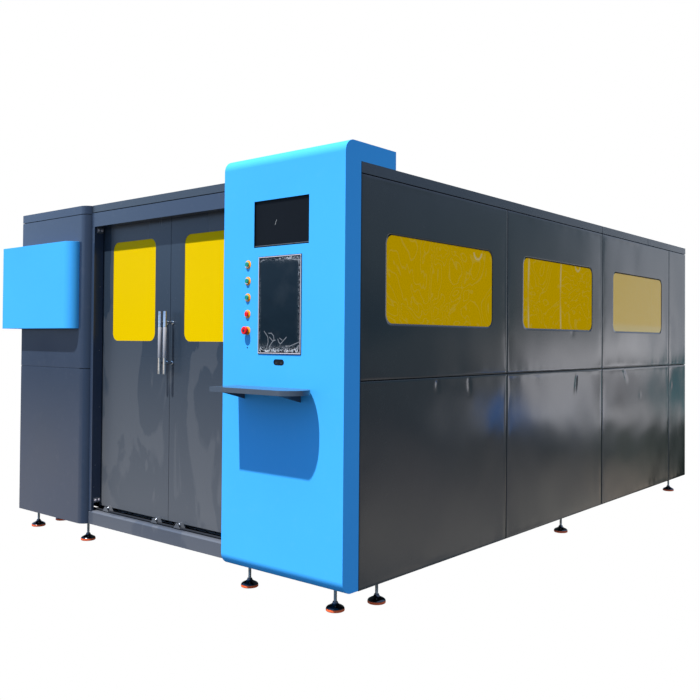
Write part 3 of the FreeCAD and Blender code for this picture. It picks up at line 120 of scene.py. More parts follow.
def thread_rod(radius, depth, pitch, origin, length, steps=16, rings_to_pitch=4):
    """Upright threaded rod: the radius swings by a cosine that climbs one pitch in each turn."""
    angle = np.linspace(0, 2 * math.pi, steps, endpoint=False)
    height = np.arange(0, length, pitch / rings_to_pitch)[:, None]
    swing = np.cos(2 * math.pi * height / pitch - angle)
    reach = radius - depth / 2 + depth / 2 * swing
    points = [reach * np.cos(angle), reach * np.sin(angle), height + 0 * angle]
    return patch(np.stack(points, axis=-1) + np.array(origin), wrap_columns=True)


def piece(name, patches, finish, body, replaces=(), crease=35, outward=None, wall=0.0):
    """One object from patches.  Doubles are merged and faces turned outwards, and edges sharper
    than the crease angle stay sharp.  An open sheet names its outward side, and may get a wall."""
    mesh = bpy.data.meshes.new(name)
    starts = np.cumsum([0] + [len(verts) for verts, _ in patches])
    faces = [(part + start).tolist() for (_, part), start in zip(patches, starts)]
    mesh.from_pydata(np.concatenate([verts for verts, _ in patches]), [], sum(faces, []))
    work = bmesh.new()
    work.from_mesh(mesh)
    bmesh.ops.remove_doubles(work, verts=work.verts, dist=1e-6)
    bmesh.ops.dissolve_degenerate(work, edges=work.edges, dist=1e-7)
    if outward is None:
        bmesh.ops.recalc_face_normals(work, faces=work.faces)
    else:
        lean = sum((face.normal * face.calc_area() for face in work.faces), Vector())
        if lean.dot(Vector(outward)) < 0:
            bmesh.ops.reverse_faces(work, faces=work.faces)
    work.to_mesh(mesh)
    work.free()
    made = bpy.data.objects.new(name, mesh)
    bpy.context.scene.collection.objects.link(made)
    return dressed(made, finish, body, replaces, crease, wall)


def dressed(made, finish, body, replaces=(), crease=35, wall=0.0):
    """Finish, shading, wall and place in the assembly of a new piece."""
    made.data.materials.clear()
    made.data.materials.append(finish)
    made.data.shade_smooth()
    made.data.set_sharp_from_angle(angle=math.radians(crease))
    if wall:
        solidify = made.modifiers.new("wall", "SOLIDIFY")
        solidify.thickness = wall
        solidify.offset = -1
    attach(made, body)
    if replaces:
        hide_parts(*replaces)
    return made


def merged_copy(node):
    """Mesh of a CAD node with its loose triangles joined and its flat faces made whole."""
    work = bmesh.new()
    work.from_mesh(nodes[node].data)
    bmesh.ops.remove_doubles(work, verts=work.verts, dist=1e-6)
    bmesh.ops.dissolve_limit(work, angle_limit=math.radians(0.5), verts=work.verts, edges=work.edges)
    return work


def softened(node, radius, finish, crease=50):
    """Stands for a CAD node: the same solid with the small round that folding, grinding and paint
    leave on every edge that is sharper than 40 degrees."""
    work = merged_copy(node)
    sharp = [e for e in work.edges if len(e.link_faces) == 2 and e.calc_face_angle(0) > math.radians(40)]
    bmesh.ops.bevel(work, geom=sharp, offset=radius, segments=2, profile=0.5, affect="EDGES",
                    clamp_overlap=True)
    mesh = bpy.data.meshes.new(node + "_softened")
    work.to_mesh(mesh)
    work.free()
    made = bpy.data.objects.new(node + "_softened", mesh)
    bpy.context.scene.collection.objects.link(made)
    dressed(made, finish, nodes[node]["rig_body"], (node,), crease)
    weighted = made.modifiers.new("weighted", "WEIGHTED_NORMAL")
    weighted.keep_sharp = True
    return made


def solid_boxes(node):
    """Lowest and highest corner of every separate solid of a CAD node, sorted along Y, then Z, then X.
    Every vertex takes the lowest number among its neighbours until each solid has one number."""
    work = bmesh.new()
    work.from_mesh(nodes[node].data)
    bmesh.ops.remove_doubles(work, verts=work.verts, dist=1e-6)
    scratch = bpy.data.meshes.new("scratch")
    work.to_mesh(scratch)
    work.free()
    places = np.empty(len(scratch.vertices) * 3)
    scratch.vertices.foreach_get("co", places)
    places = places.reshape(-1, 3)
    ends = np.empty(len(scratch.edges) * 2, int)
    scratch.edges.foreach_get("vertices", ends)
    one, other = ends.reshape(-1, 2).T
    bpy.data.meshes.remove(scratch)
    number = np.arange(len(places))
    while (number[one] != number[other]).any():
        least = np.minimum(number[one], number[other])
        np.minimum.at(number, one, least)
        np.minimum.at(number, other, least)
        number = number[number]
    solids = [places[number == each] for each in np.unique(number)]
    found = [(Vector(solid.min(0)), Vector(solid.max(0))) for solid in solids]
    return sorted(found, key=lambda corners: [round(corners[0][axis], 3) for axis in (1, 2, 0)])


# ---------------------------------------------------------------- finishes
def linear(colour):
    """Linear red, green, blue and alpha of an sRGB hex colour."""
    channels = [int(colour[i:i + 2], 16) / 255 for i in (1, 3, 5)]
    return [c / 12.92 if c <= 0.04045 else ((c + 0.055) / 1.055) ** 2.4 for c in channels] + [1.0]


def fill(node, inputs):
    """Inputs of a node, by name or in order.  Each is a value, a socket, or a node, which stands for its
    first open output."""
    for key, value in inputs.items() if isinstance(inputs, dict) else enumerate(inputs):
        if isinstance(value, bpy.types.Node):
            value = next(socket for socket in value.outputs if socket.enabled)
        if isinstance(value, bpy.types.NodeSocket):
            node.id_data.links.new(value, node.inputs[key])
        else:
            node.inputs[key].default_value = value


def add(tree, kind, inputs=(), stops=(), **settings):
    """One node with its settings and links.  Stops are the (position, colour) pairs of a colour ramp."""
    node = tree.nodes.new("ShaderNode" + kind)
    for key, value in settings.items():
        setattr(node, key, value)
    fill(node, inputs)
    for _ in stops[2:]:
        node.color_ramp.elements.new(0.5)
    for number, (position, colour) in enumerate(stops):
        node.color_ramp.elements[number].position = position
        node.color_ramp.elements[number].color = colour
    return node


def finish_of(name, **values):
    """Material with one principled shader, whose plain values are set on its own sockets, and the object
    coordinates, in metres, that its patterns are laid out on."""
    material = bpy.data.materials.new(name)
    material.use_nodes = True
    shader = material.node_tree.nodes["Principled BSDF"]
    fill(shader, {key.replace("_", " "): value for key, value in values.items()})
    where = add(material.node_tree, "TexCoord").outputs["Object"]
    return material, material.node_tree, shader, where


def powder_coat(name, colour, patches, roughness, dust="#8C8A86", dust_share=0.1, gloss=0.5):
    """Polyester powder coat baked on steel: a smooth dielectric film with a fine orange-peel skin,
    slightly uneven in tone, hazy where hands and dust have been."""
    material, tree, shader, where = finish_of(name, IOR=1.5, Specular_IOR_Level=gloss)
    # Cloudy tone about 0.7 m across, as on sprayed panels.
    cloud = add(tree, "TexNoise", {"Vector": where, "Scale": 1.4, "Detail": 3.0})
    tone = add(tree, "ValToRGB", [cloud], [(0.3, linear(patches)), (0.7, linear(colour))])
    haze = add(tree, "MapRange", [cloud, 0.3, 0.7, roughness - 0.04, roughness + 0.06])
    # Settled dust in patches about 50 mm across.
    specks = add(tree, "TexNoise", {"Vector": where, "Scale": 20.0, "Detail": 6.0, "Roughness": 0.7})
    film = add(tree, "MapRange", [specks, 0.55, 0.8, 0.0, dust_share])
    dusty = add(tree, "Mix", {"Factor": film, "A": tone, "B": linear(dust)}, data_type="RGBA")
    # Orange peel: swells 1.5 mm across, drawn a little coarser than the real 1 mm so that it shows.
    skin = add(tree, "TexNoise", {"Vector": where, "Scale": 650.0, "Detail": 1.0})
    bump = add(tree, "Bump", {"Height": skin, "Strength": 0.5, "Distance": 0.00003})
    fill(shader, {"Base Color": dusty, "Roughness": haze, "Normal": bump})
    return material


def wiped_powder_coat(name, colour, dust, low, high, roughness):
    """Powder coat that has been wiped by hand: paler and duller towards the floor, with dust in soft
    upright smears with firm edges, and single specks are left on it."""
    material, tree, shader, where = finish_of(name, IOR=1.5, Specular_IOR_Level=0.3)
    height = add(tree, "SeparateXYZ", [where]).outputs["Z"]
    # Paler and duller towards the floor, rising from nothing at the high height to the low one.
    paler_low = add(tree, "MapRange", [height, high, low, 0.0, 0.55])
    # Smears about 0.25 m across and 0.7 m tall, bent by a slow distortion.
    tall = add(tree, "Mapping", {"Vector": where, "Scale": (4.0, 4.0, 1.4)})
    smear = add(tree, "TexNoise", {"Vector": tall, "Scale": 1.0, "Detail": 4.0, "Distortion": 1.2})
    firm = add(tree, "MapRange", [smear, 0.50, 0.54, 0.0, 0.22])
    # Specks about 7 mm apart, of which only the highest few show.
    specks = add(tree, "TexNoise", {"Vector": where, "Scale": 140.0, "Detail": 2.0})
    dots = add(tree, "MapRange", [specks, 0.74, 0.78, 0.0, 0.5])
    share = add(tree, "Math", [paler_low, firm], operation="ADD")
    total = add(tree, "Math", [share, dots], operation="ADD", use_clamp=True)
    tone = add(tree, "Mix", {"Factor": total, "A": linear(colour), "B": linear(dust)}, data_type="RGBA")
    rough = add(tree, "MapRange", [total, 0.0, 0.7, roughness, roughness + 0.2])
    fill(shader, {"Base Color": tone, "Roughness": rough})
    return material


def safety_acrylic(name, colour, edge, roughness, swirl, gloss):
    """Cast acrylic laser-safety sheet, opaque yellow, still under its clear protective film: glossy,
    with the film's trapped air as faint contour lines, a few centimetres apart."""
    material, tree, shader, where = finish_of(name, IOR=1.49, Specular_IOR_Level=gloss, Roughness=roughness)
    drift = add(tree, "TexNoise", {"Vector": where, "Scale": 2.2, "Detail": 2.0, "Distortion": 2.2})
    contours = add(tree, "Math", [drift, 60.0], operation="MULTIPLY")
    waves = add(tree, "Math", [contours], operation="SINE")
    crests = add(tree, "MapRange", [waves, 0.75, 1.0, 0.0, swirl])
    tone = add(tree, "Mix", {"Factor": crests, "A": linear(colour), "B": linear(edge)}, data_type="RGBA")
    # On the folds and under the bubbles of the film the colour is mixed towards pale yellow, as painted
    # highlights, together with each pane's given paleness: the piece's own attribute.
    film_glints_and_paleness = add(tree, "Attribute", attribute_name="film_glints_and_paleness").outputs["Fac"]
    pale = add(tree, "Mix", {"Factor": film_glints_and_paleness, "A": tone, "B": linear("#F6EFC8")}, data_type="RGBA")
    bump = add(tree, "Bump", {"Height": waves, "Strength": 0.15, "Distance": 0.0001})
    fill(shader, {"Base Color": pale, "Normal": bump})
    return material


def brushed_metal(name, colour, roughness, grain_along, grain=0.0004):
    """Stainless or ground steel, or machined aluminium: a fine linear grain, its lines 0.4 mm apart
    unless the call says otherwise, under faint stains about 30 mm across."""
    material, tree, shader, where = finish_of(name, Metallic=1.0)
    across = 1.0 / grain
    scale = [across / 60 if axis == grain_along else across for axis in "XYZ"]
    drawn = add(tree, "Mapping", {"Vector": where, "Scale": scale})
    lines = add(tree, "TexNoise", {"Vector": drawn, "Scale": 1.0, "Detail": 2.0})
    stain = add(tree, "TexNoise", {"Vector": where, "Scale": 30.0, "Detail": 4.0})
    stained = add(tree, "MapRange", [stain, 0.4, 0.7, 0.0, 0.35])
    shade = add(tree, "Mix", {"Factor": stained, "A": linear(colour), "B": linear("#6E6A64")},
                data_type="RGBA")
    rough = add(tree, "MapRange", [lines, 0.3, 0.7, roughness * 0.75, roughness * 1.25])
    bump = add(tree, "Bump", {"Height": lines, "Strength": 0.25, "Distance": grain / 20})
    fill(shader, {"Base Color": shade, "Roughness": rough, "Normal": bump})
    return material


def polished_metal(name, colour, roughness, stain="#5A5A5C"):
    """Chrome, nickel or zinc plate: mirror-like, with faint water marks about 8 mm across."""
    material, tree, shader, where = finish_of(name, Metallic=1.0)
    marks = add(tree, "TexNoise", {"Vector": where, "Scale": 120.0, "Detail": 4.0})
    mask = add(tree, "MapRange", [marks, 0.5, 0.75, 0.0, 0.5])
    shade = add(tree, "Mix", {"Factor": mask, "A": linear(colour), "B": linear(stain)}, data_type="RGBA")
    rough = add(tree, "MapRange", [mask, 0.0, 0.5, roughness, roughness + 0.15])
    fill(shader, {"Base Color": shade, "Roughness": rough})
    return material


def moulded(name, colour, roughness, ior=1.5, grain=0.0008, depth=0.00002, mottle=0.12, **values):
    """Moulded plastic or rubber, or a thin even enamel: one colour with a slight mottle about 17 mm
    across, and the surface's fine grain."""
    material, tree, shader, where = finish_of(name, IOR=ior, **values)
    blotch = add(tree, "TexNoise", {"Vector": where, "Scale": 60.0, "Detail": 3.0})
    darker = [channel * (1 - mottle) for channel in linear(colour)[:3]] + [1.0]
    tone = add(tree, "Mix", {"Factor": blotch, "A": linear(colour), "B": darker}, data_type="RGBA")
    pits = add(tree, "TexNoise", {"Vector": where, "Scale": 1.0 / grain, "Detail": 2.0})
    rough = add(tree, "MapRange", [pits, 0.3, 0.7, roughness - 0.05, roughness + 0.05])
    bump = add(tree, "Bump", {"Height": pits, "Strength": 0.4, "Distance": depth})
    fill(shader, {"Base Color": tone, "Roughness": rough, "Normal": bump})
    return material


def film_over_screen(name):
    """Clear film on dark glass: teal black where it is tight, with painted white highlights along the
    crumples and the folds, which follow the piece's own attributes."""
    material, tree, shader, where = finish_of(name, IOR=1.5, Specular_IOR_Level=0.15, Roughness=0.2)
    # Ridges of noise about 8 mm apart: painted highlight where the noise crosses its middle value.
    wrinkles = add(tree, "TexNoise", {"Vector": where, "Scale": 70.0, "Detail": 5.0, "Distortion": 1.5})
    off = add(tree, "Math", [wrinkles, 0.5], operation="SUBTRACT")
    near = add(tree, "Math", [off], operation="ABSOLUTE")
    glint_ridge = add(tree, "MapRange", [near, 0.0, 0.045, 1.0, 0.0])
    crumple = add(tree, "Attribute", attribute_name="crumple").outputs["Fac"]
    painted_glint = add(tree, "Math", [glint_ridge, crumple], operation="MULTIPLY")
    haze = add(tree, "TexNoise", {"Vector": where, "Scale": 9.0, "Detail": 4.0})
    veil = add(tree, "MapRange", [haze, 0.5, 0.75, 0.0, 0.008])
    both = add(tree, "Math", [painted_glint, veil], operation="ADD")
    # Painted white highlight lines along the film's sharp folds, from the piece's own attribute.
    folds = add(tree, "Attribute", attribute_name="fold").outputs["Fac"]
    total = add(tree, "Math", [both, folds], operation="ADD", use_clamp=True)
    tone = add(tree, "Mix", {"Factor": total, "A": linear("#07161F"), "B": linear("#ECF0F4")},
               data_type="RGBA")
    fill(shader, {"Base Color": tone})
    return material


# Paints.  The covers are dark and clean, the thin side sheets glossy enough to mirror the yard, the tower
# and the pod satin and bright, and the leaves and the sill dull with wiped dust.
charcoal = powder_coat("charcoal semi-gloss powder coat", "#283447", "#263244", 0.22, dust_share=0.04)
charcoal_side = powder_coat("charcoal gloss powder coat on thin sheet", "#25292D", "#23272B", 0.09,
                            dust_share=0.03)
blue_coat = powder_coat("sky blue satin powder coat", "#3CA0E4", "#399BDF", 0.62, "#7FB4E6", 0.05, 0.12)
roof_coat = powder_coat("charcoal powder coat on the roof", "#2D353E", "#2B333C", 0.25, dust_share=0.06)
# The shelf's charcoal is lighter than the cabinet's: painted sheen of sun and sky on its glossy top.
shelf_coat_painted_sheen = powder_coat("charcoal gloss powder coat on the shelf", "#3E4956", "#3C4754", 0.20,
                         dust_share=0.08)
enamel = powder_coat("light grey machine enamel", "#9AA0A4", "#90979C", 0.35, "#6B6660", 0.3)
wiped_coat = wiped_powder_coat("charcoal powder coat wiped by hand", "#25303C", "#595B5E", 0.30, 1.25, 0.26)
dusty_coat = wiped_powder_coat("charcoal powder coat with floor dust", "#333C4A", "#606266",
                               -0.10, 0.45, 0.35)
# Safety acrylic, deep yellow: calm in the doors, swirled by its film in the sides, and paler and duller
# in the rearmost window.  The doors' copy is a darker yellow, painted shade on the sunlit doors, and the
# sides' copies a brighter one, painted light on the shaded sides.
acrylic_door_painted_shade = safety_acrylic("yellow cast acrylic with film", "#C8A800", "#CEB106", 0.16, 0.08, 0.01)
acrylic_side_painted_light = safety_acrylic("yellow cast acrylic with loose film", "#FFC000", "#FFE27A", 0.12, 0.13, 0.0)
acrylic_far_painted_light = safety_acrylic("yellow cast acrylic under dull film", "#FFC000", "#FFE27A", 0.22, 0.06, 0.10)
# Bare and plated metals: soft streaked glints where brushed or ground, sharp ones where plated.
stainless = brushed_metal("brushed stainless steel", "#C9C9C7", 0.3, "Z")
ground_rail = brushed_metal("ground guide steel", "#B4B8BC", 0.2, "Y")
scorched = brushed_metal("scorched mild steel", "#6A5E54", 0.5, "X", 0.002)
aluminium = brushed_metal("machined aluminium", "#C8CACC", 0.28, "X", 0.0006)
chrome = polished_metal("polished chrome plate", "#D6D8DA", 0.06)
dark_chrome = polished_metal("dark chromed casting", "#54585E", 0.1, "#2C2E32")
zinc = polished_metal("yellow-passivated zinc plate", "#B4A888", 0.25, "#7C7258")
zinc_stud = polished_metal("bright zinc plated thread", "#C2C4C0", 0.18, "#5E5A52")
# Plastics and rubber: strong even colours with a broad soft highlight.
orange_rubber = moulded("orange moulded rubber", "#D45414", 0.55, 1.52, 0.0012, 0.00006)
ring_plastic = moulded("amber label ring", "#F09C00", 0.45, Specular_IOR_Level=0.12)
green_cap = moulded("green moulded button cap", "#00826C", 0.25, Specular_IOR_Level=0.3)
red_cap = moulded("red moulded button cap", "#D8100E", 0.30, Specular_IOR_Level=0.2)
black_plastic = moulded("black moulded plastic", "#0C0D10", 0.4, Specular_IOR_Level=0.2)
# Screens, switched off: near black, with a clear reflection on the glass and none on the matte cover.
screen_glass = moulded("black screen glass", "#07141E", 0.12, 1.52, 0.02, 0.000004, 0.3,
                       Specular_IOR_Level=0.15)
screen_matte = moulded("black matte screen cover", "#0E1217", 0.5, 1.5, 0.0015, 0.00001, 0.25,
                       Specular_IOR_Level=0.08)
crumpled_film = film_over_screen("crumpled clear film on black glass")
# Thin dull coats on metal, even enough to be drawn as one colour.
oiled_rod = moulded("oiled black steel bar", "#1B1D21", 0.5, 1.5, 0.0006, 0.00001, 0.2,
                    Specular_IOR_Level=0.2)
motor_coat = moulded("black motor enamel", "#1C1D20", 0.38, 1.5, 0.001, 0.00003)
satin_sleeve = moulded("satin aluminium sleeve", "#98989C", 0.40, 1.5, 0.0006, 0.00001, 0.08)
bright_trim = moulded("pale anodised trim", "#B9B2B8", 0.3, 1.5, 0.001, 0.00001, 0.2)
dull_trim = moulded("dull plated trim", "#5C6066", 0.4, 1.5, 0.001, 0.00001, 0.3)
scuff = moulded("pale scuff", "#A8ABA8", 0.6)

# ---------------------------------------------------------------- finishes of the CAD nodes
finishes = {
    "charcoal_paint": charcoal, "blue_paint": blue_coat, "grey_machine_paint": enamel,
    "yellow_acrylic": acrylic_door_painted_shade, "black_glass": screen_glass, "brushed_steel": ground_rail,
    "slat_steel": scorched, "chrome": chrome, "zinc_plate": zinc, "orange_rubber": orange_rubber,
    "yellow_plastic": ring_plastic, "black_plastic": motor_coat, "green_plastic": green_cap,
    "red_plastic": red_cap, "aluminium": aluminium,
}
own_finishes = {"track_rod": oiled_rod, "lower_monitor_frame": stainless, "estop_stem": black_plastic,
                "upper_monitor": screen_matte, "exhaust_spigot": stainless, "keyboard_shelf": shelf_coat_painted_sheen}
for entry in frame["record"]["subparts"]:
    node = nodes[entry["node"]]
    node.data.materials.clear()
    node.data.materials.append(own_finishes.get(entry["node"], finishes[entry["material_slot"]]))

# ---------------------------------------------------------------- folded sheet panels
roll = 0.003                  # outer radius of a folded edge
flange = 0.025                # depth of the flange behind every edge
window_radius = 0.05
window_border = 0.27          # usual width of sheet round a window
oil_canning = 0.0011          # height of the slow swells in the flat sheet
fine_cells, wide_cells = 0.0125, 0.025      # mesh spacing on the right side, and on the others


def fold_stops(length, spacing):
    """Stops across a folded panel, and the depth at each: up the flange, round the fold, over the
    flat, and down again on the far side."""
    turn = np.linspace(math.pi / 2, 0, 4)
    start = np.append(0.0, roll * (1 - np.sin(turn)))
    depth = np.append(flange, roll * (1 - np.cos(turn)))
    flat = np.linspace(roll, length - roll, max(3, round(length / spacing)))[1:-1]
    stops = np.concatenate([start, flat, length - start[::-1]])
    return stops, np.concatenate([depth, 0 * flat, depth[::-1]])


def swell(u, v, seed, longest, amount):
    """Gentle hills: a sum of seven sines in random directions, the longest first, each shorter one
    lower in the same proportion."""
    random = np.random.default_rng(seed)
    total = 0 * u
    for shrink in np.linspace(1.0, 0.32, 7):
        angle, phase = random.uniform(0, 2 * math.pi, 2)
        along = u * math.cos(angle) + v * math.sin(angle)
        total = total + shrink * np.sin(2 * math.pi * along / (longest * shrink) + phase)
    return total * amount / 3.0


def crease(u, v, start, end, depth, width):
    """Valley along a straight run: a bell across it, deepest at the start and gone at the end."""
    run = np.subtract(end, start)
    length = np.hypot(*run)
    run = run / length
    along = (u - start[0]) * run[0] + (v - start[1]) * run[1]
    across = (u - start[0]) * run[1] - (v - start[1]) * run[0]
    fade = np.clip(1 - along / length, 0, 1) * np.clip(1 + along / width, 0, 1)
    return -depth * np.exp(-(across / (width * (0.5 + np.clip(along / length, 0, 1)))) ** 2) * fade


def dent(u, v, centre, depth, radius):
    """Round dimple: a bell of the given radius."""
    return -depth * np.exp(-((u - centre[0]) ** 2 + (v - centre[1]) ** 2) / radius ** 2)


def pulled_edges(u, v, width, height, seed, amount=0.0006):
    """Sheet drawn in along its edges by the fixings behind: a fall within 45 mm of each edge, that
    comes and goes along it."""
    random = np.random.default_rng(seed + 500)
    total = 0 * u
    for distance, along in ((u, v), (width - u, v), (v, u), (height - v, u)):
        period, phase, other = random.uniform(0.22, 0.4), *random.uniform(0, 2 * math.pi, 2)
        beat = 0.5 + 0.3 * np.sin(2 * math.pi * along / period + phase)
        beat = beat + 0.2 * np.sin(5.3 * math.pi * along / period + other)
        total = total - amount * beat * np.exp(-(distance / 0.045) ** 2)
    return total


def calm_edges(u, v, width, height, reach=0.03):
    """One over the panel, falling to nothing at its folded edges."""
    distance = np.minimum(np.minimum(u, width - u), np.minimum(v, height - v))
    share = np.clip((distance - roll) / reach, 0, 1)
    return share ** 2 * (3 - 2 * share)


def plain_skin(width, height, spacing):
    """Across, up and depth of a folded panel without a window."""
    u, du = fold_stops(width, spacing)
    v, dv = fold_stops(height, spacing)
    grid = np.stack(np.meshgrid(u, v, indexing="ij") + [np.maximum(*np.meshgrid(du, dv, indexing="ij"))], -1)
    return grid, False


def window_skin(width, height, hole, spacing):
    """Across, up and depth of a folded panel with a round-cornered window: rings that run from the
    window's outline straight out to the panel's edge, and over the fold."""
    left, right, low, high = hole
    middle = np.array([width / 2, height / 2])
    half = middle - roll
    outline, normal = [], []
    corners = [(right, low, -1), (right, high, 0), (left, high, 1), (left, low, 2)]
    for k, (cx, cz, quarter) in enumerate(corners):
        centre = np.array([cx - math.copysign(window_radius, cx - middle[0]),
                           cz - math.copysign(window_radius, cz - (low + high) / 2)])
        far = middle + np.sign([cx - middle[0], cz - (low + high) / 2]) * half
        start = quarter * math.pi / 2
        aim = (math.atan2(*(far - centre)[::-1]) - start) % (2 * math.pi)
        angle = start + np.sort(np.append(np.linspace(0, math.pi / 2, 20), aim))
        ring = np.stack([np.cos(angle), np.sin(angle)], -1)
        outline.append(centre + window_radius * ring)
        normal.append(ring)
        end = outline[-1][-1]
        nx, nz, _ = corners[(k + 1) % 4]
        step = np.array([-math.sin(start + math.pi / 2), math.cos(start + math.pi / 2)])
        length = abs((np.array([nx, nz]) - (cx, cz)) @ step) - 2 * window_radius
        t = np.linspace(0, length, round(length / spacing))[1:-1, None]
        outline.append(end + t * step)
        normal.append(np.repeat(ring[-1:], len(t), 0))
    inner = np.concatenate(outline)
    normal = np.concatenate(normal)
    reach = (middle + np.sign(normal) * half - inner) / np.where(np.abs(normal) < 1e-9, 1e-9, normal)
    reach = np.where(np.abs(normal) < 1e-9, np.inf, reach).min(1)
    outer = inner + reach[:, None] * normal
    rows = [np.column_stack([inner + s * (outer - inner), 0 * reach])
            for s in np.linspace(0, 1, round(window_border / spacing))]
    turns = np.linspace(0, math.pi / 2, 4)[1:]
    fold = [(roll * math.sin(turn), roll * (1 - math.cos(turn))) for turn in turns]
    for swing, depth in fold + [(roll, flange)]:
        offset = outer - middle
        grown = np.where(np.abs(offset) > half - 1e-6, np.sign(offset) * (half + swing), offset)
        rows.append(np.column_stack([middle + grown, 0 * reach + depth]))
    return np.stack(rows), True


def folded_panel(name, corner, across, outward, width, height, spacing, seed, marks=None, hole=None):
    """Folded panel in its place, oil-canned as thin sheet is, with its own marks."""
    grid, closed = window_skin(width, height, hole, spacing) if hole else plain_skin(width, height, spacing)
    u, v, depth = grid[..., 0], grid[..., 1], grid[..., 2]
    rise = swell(u, v, seed, 0.95, oil_canning) + swell(u, v, seed + 77, 0.4, oil_canning * 0.12)
    if marks:
        rise = rise + marks(u, v)
    rise = rise * calm_edges(u, v, width, height)
    rise = rise + pulled_edges(u, v, width, height, seed) * calm_edges(u, v, width, height, 0.012)
    offset = (rise - depth)[..., None]
    points = np.array(corner) + u[..., None] * np.array(across) + v[..., None] * np.array([0, 0, 1.0])
    points = points + offset * np.array(outward)
    surface = patch(points, wrap_columns=closed)
    return piece(name, [surface], charcoal_side, "machine", (), 50, outward, sheet)


# Places along Y and Z of the marks on the right side: the start and end of every crease, most of them
# hanging from the lower row's upper edge, and the dents with their depth and radius.
right_creases = [((-1.478, 1.077), (-1.478, 1.004)), ((-1.173, 1.081), (-1.156, 0.973)),
                 ((0.204, 1.039), (0.182, 0.904)), ((1.013, 1.079), (1.112, 0.967))]
right_dents = [((0.147, 1.350), 0.0012, 0.03), ((1.357, 0.865), 0.0010, 0.022),
               ((2.062, 0.918), 0.0012, 0.025)]


def side_marks(low):
    """Creases and dents of the right side, as heights over one panel."""
    def marks(u, v):
        y, z = u + low.y, v + low.z
        total = 0 * u
        for start, end in right_creases:
            total = total + crease(y, z, start, end, 0.004, 0.016)
        for centre, depth, radius in right_dents:
            total = total + dent(y, z, centre, depth, radius)
        return total
    return marks


windows = solid_boxes("right_windows")
for row, first_seed in (("upper", 6), ("lower", 5)):
    for index, (low, high) in enumerate(solid_boxes(f"right_{row}_panels")):
        hole = None
        if row == "upper" and index < len(windows):
            pane_low, pane_high = windows[index]
            hole = (pane_low.y + pane_lap - low.y, pane_high.y - pane_lap - low.y,
                    pane_low.z + pane_lap - low.z, pane_high.z - pane_lap - low.z)
        made = folded_panel(f"right_{row}_skin_{index + 1}", (high.x, low.y, low.z), (0, 1, 0), (1, 0, 0),
                            high.y - low.y, high.z - low.z, fine_cells, first_seed + 10 * index,
                            side_marks(low), hole)
        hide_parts(f"right_{row}_panels")
# A rubber seal lies in the gap between the upper and the lower row, 10 mm behind their faces.
upper_boxes, lower_boxes = solid_boxes("right_upper_panels"), solid_boxes("right_lower_panels")
face = upper_boxes[0][1].x
seal = rounded_block((face - 0.022, upper_boxes[0][0].y, lower_boxes[0][1].z),
                     (face - 0.010, upper_boxes[-1][1].y, upper_boxes[0][0].z), 0.0005)
piece("right_seam_seal", [seal], black_plastic, "machine")
for index, (low, high) in enumerate(solid_boxes("left_panels")):
    made = folded_panel(f"left_skin_{index + 1}", (low.x, high.y, low.z), (0, -1, 0), (-1, 0, 0),
                        high.y - low.y, high.z - low.z, wide_cells, 200 + index)
    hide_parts("left_panels")
for index, (low, high) in enumerate(solid_boxes("rear_panels")):
    made = folded_panel(f"rear_skin_{index + 1}", (high.x, high.y, low.z), (-1, 0, 0), (0, 1, 0),
                        high.x - low.x, high.z - low.z, wide_cells, 300 + index)
    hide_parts("rear_panels")


# ---------------------------------------------------------------- side panes with loose film
def paint_grid(made, name, values):
    """Attribute of a grid piece, given by the place of every vertex in it."""
    places = np.empty(len(made.data.vertices) * 3)
    made.data.vertices.foreach_get("co", places)
    x, y, z = places.reshape(-1, 3).T
    shade = made.data.attributes.new(name, "FLOAT", "POINT")
    shade.data.foreach_set("value", np.clip(values(x, y, z), 0, 1))


def film_pane(name, low, high, seed, folds, bubbles, paleness, finish):
    """Pane behind its window hole: gentle waves of its loose film, with a few upright folds and round
    bubbles."""
    y = np.linspace(low.y, high.y, 170)
    z = np.linspace(low.z, high.z, 74)
    y, z = np.meshgrid(y, z, indexing="ij")
    rise = 0.0004 + swell(y, z, seed, 0.5, 0.0005)
    for place, _ in folds:
        wander = place + 0.006 * np.sin(9 * z + seed)
        rise = rise + 0.0007 * np.exp(-((y - wander) / 0.006) ** 2)
    for centre, height, radius in bubbles:
        rise = rise - dent(y, z, centre, height, radius)
    inside = np.minimum(np.minimum(y - low.y, high.y - y), np.minimum(z - low.z, high.z - z))
    rise = np.clip(rise, 0, 0.0018) * np.clip((inside - pane_lap) / 0.01, 0, 1)
    points = np.stack([high.x + rise, y, z], -1)
    made = piece(name, [patch(points)], finish, "machine", (), 50, (1, 0, 0),
                 high.x - low.x)

    def film_glints_and_paleness(_, y, z):
        """Painted highlights: pale lines on the folds and pale arcs under the bubbles; and the pane's given
        paleness, which is strongest at the foot."""
        total = paleness * (1 + 1.2 * np.exp(-((z - low.z - pane_lap) / 0.05) ** 4))
        for place, glint_strength in folds:
            wander = place + 0.006 * np.sin(9 * z + seed)
            broken = 0.6 + 0.4 * np.sin(21 * z + seed)
            total = total + glint_strength * broken * np.exp(-((y - wander) / 0.007) ** 2)
        for centre, _, radius in bubbles:
            distance = np.hypot(y - centre[0], z - centre[1])
            lower_half = z < centre[1] - 0.2 * radius
            total = total + 0.5 * np.exp(-((distance - 2.3 * radius) / 0.005) ** 2) * lower_half
        return total

    paint_grid(made, "film_glints_and_paleness", film_glints_and_paleness)
    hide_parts("right_windows")


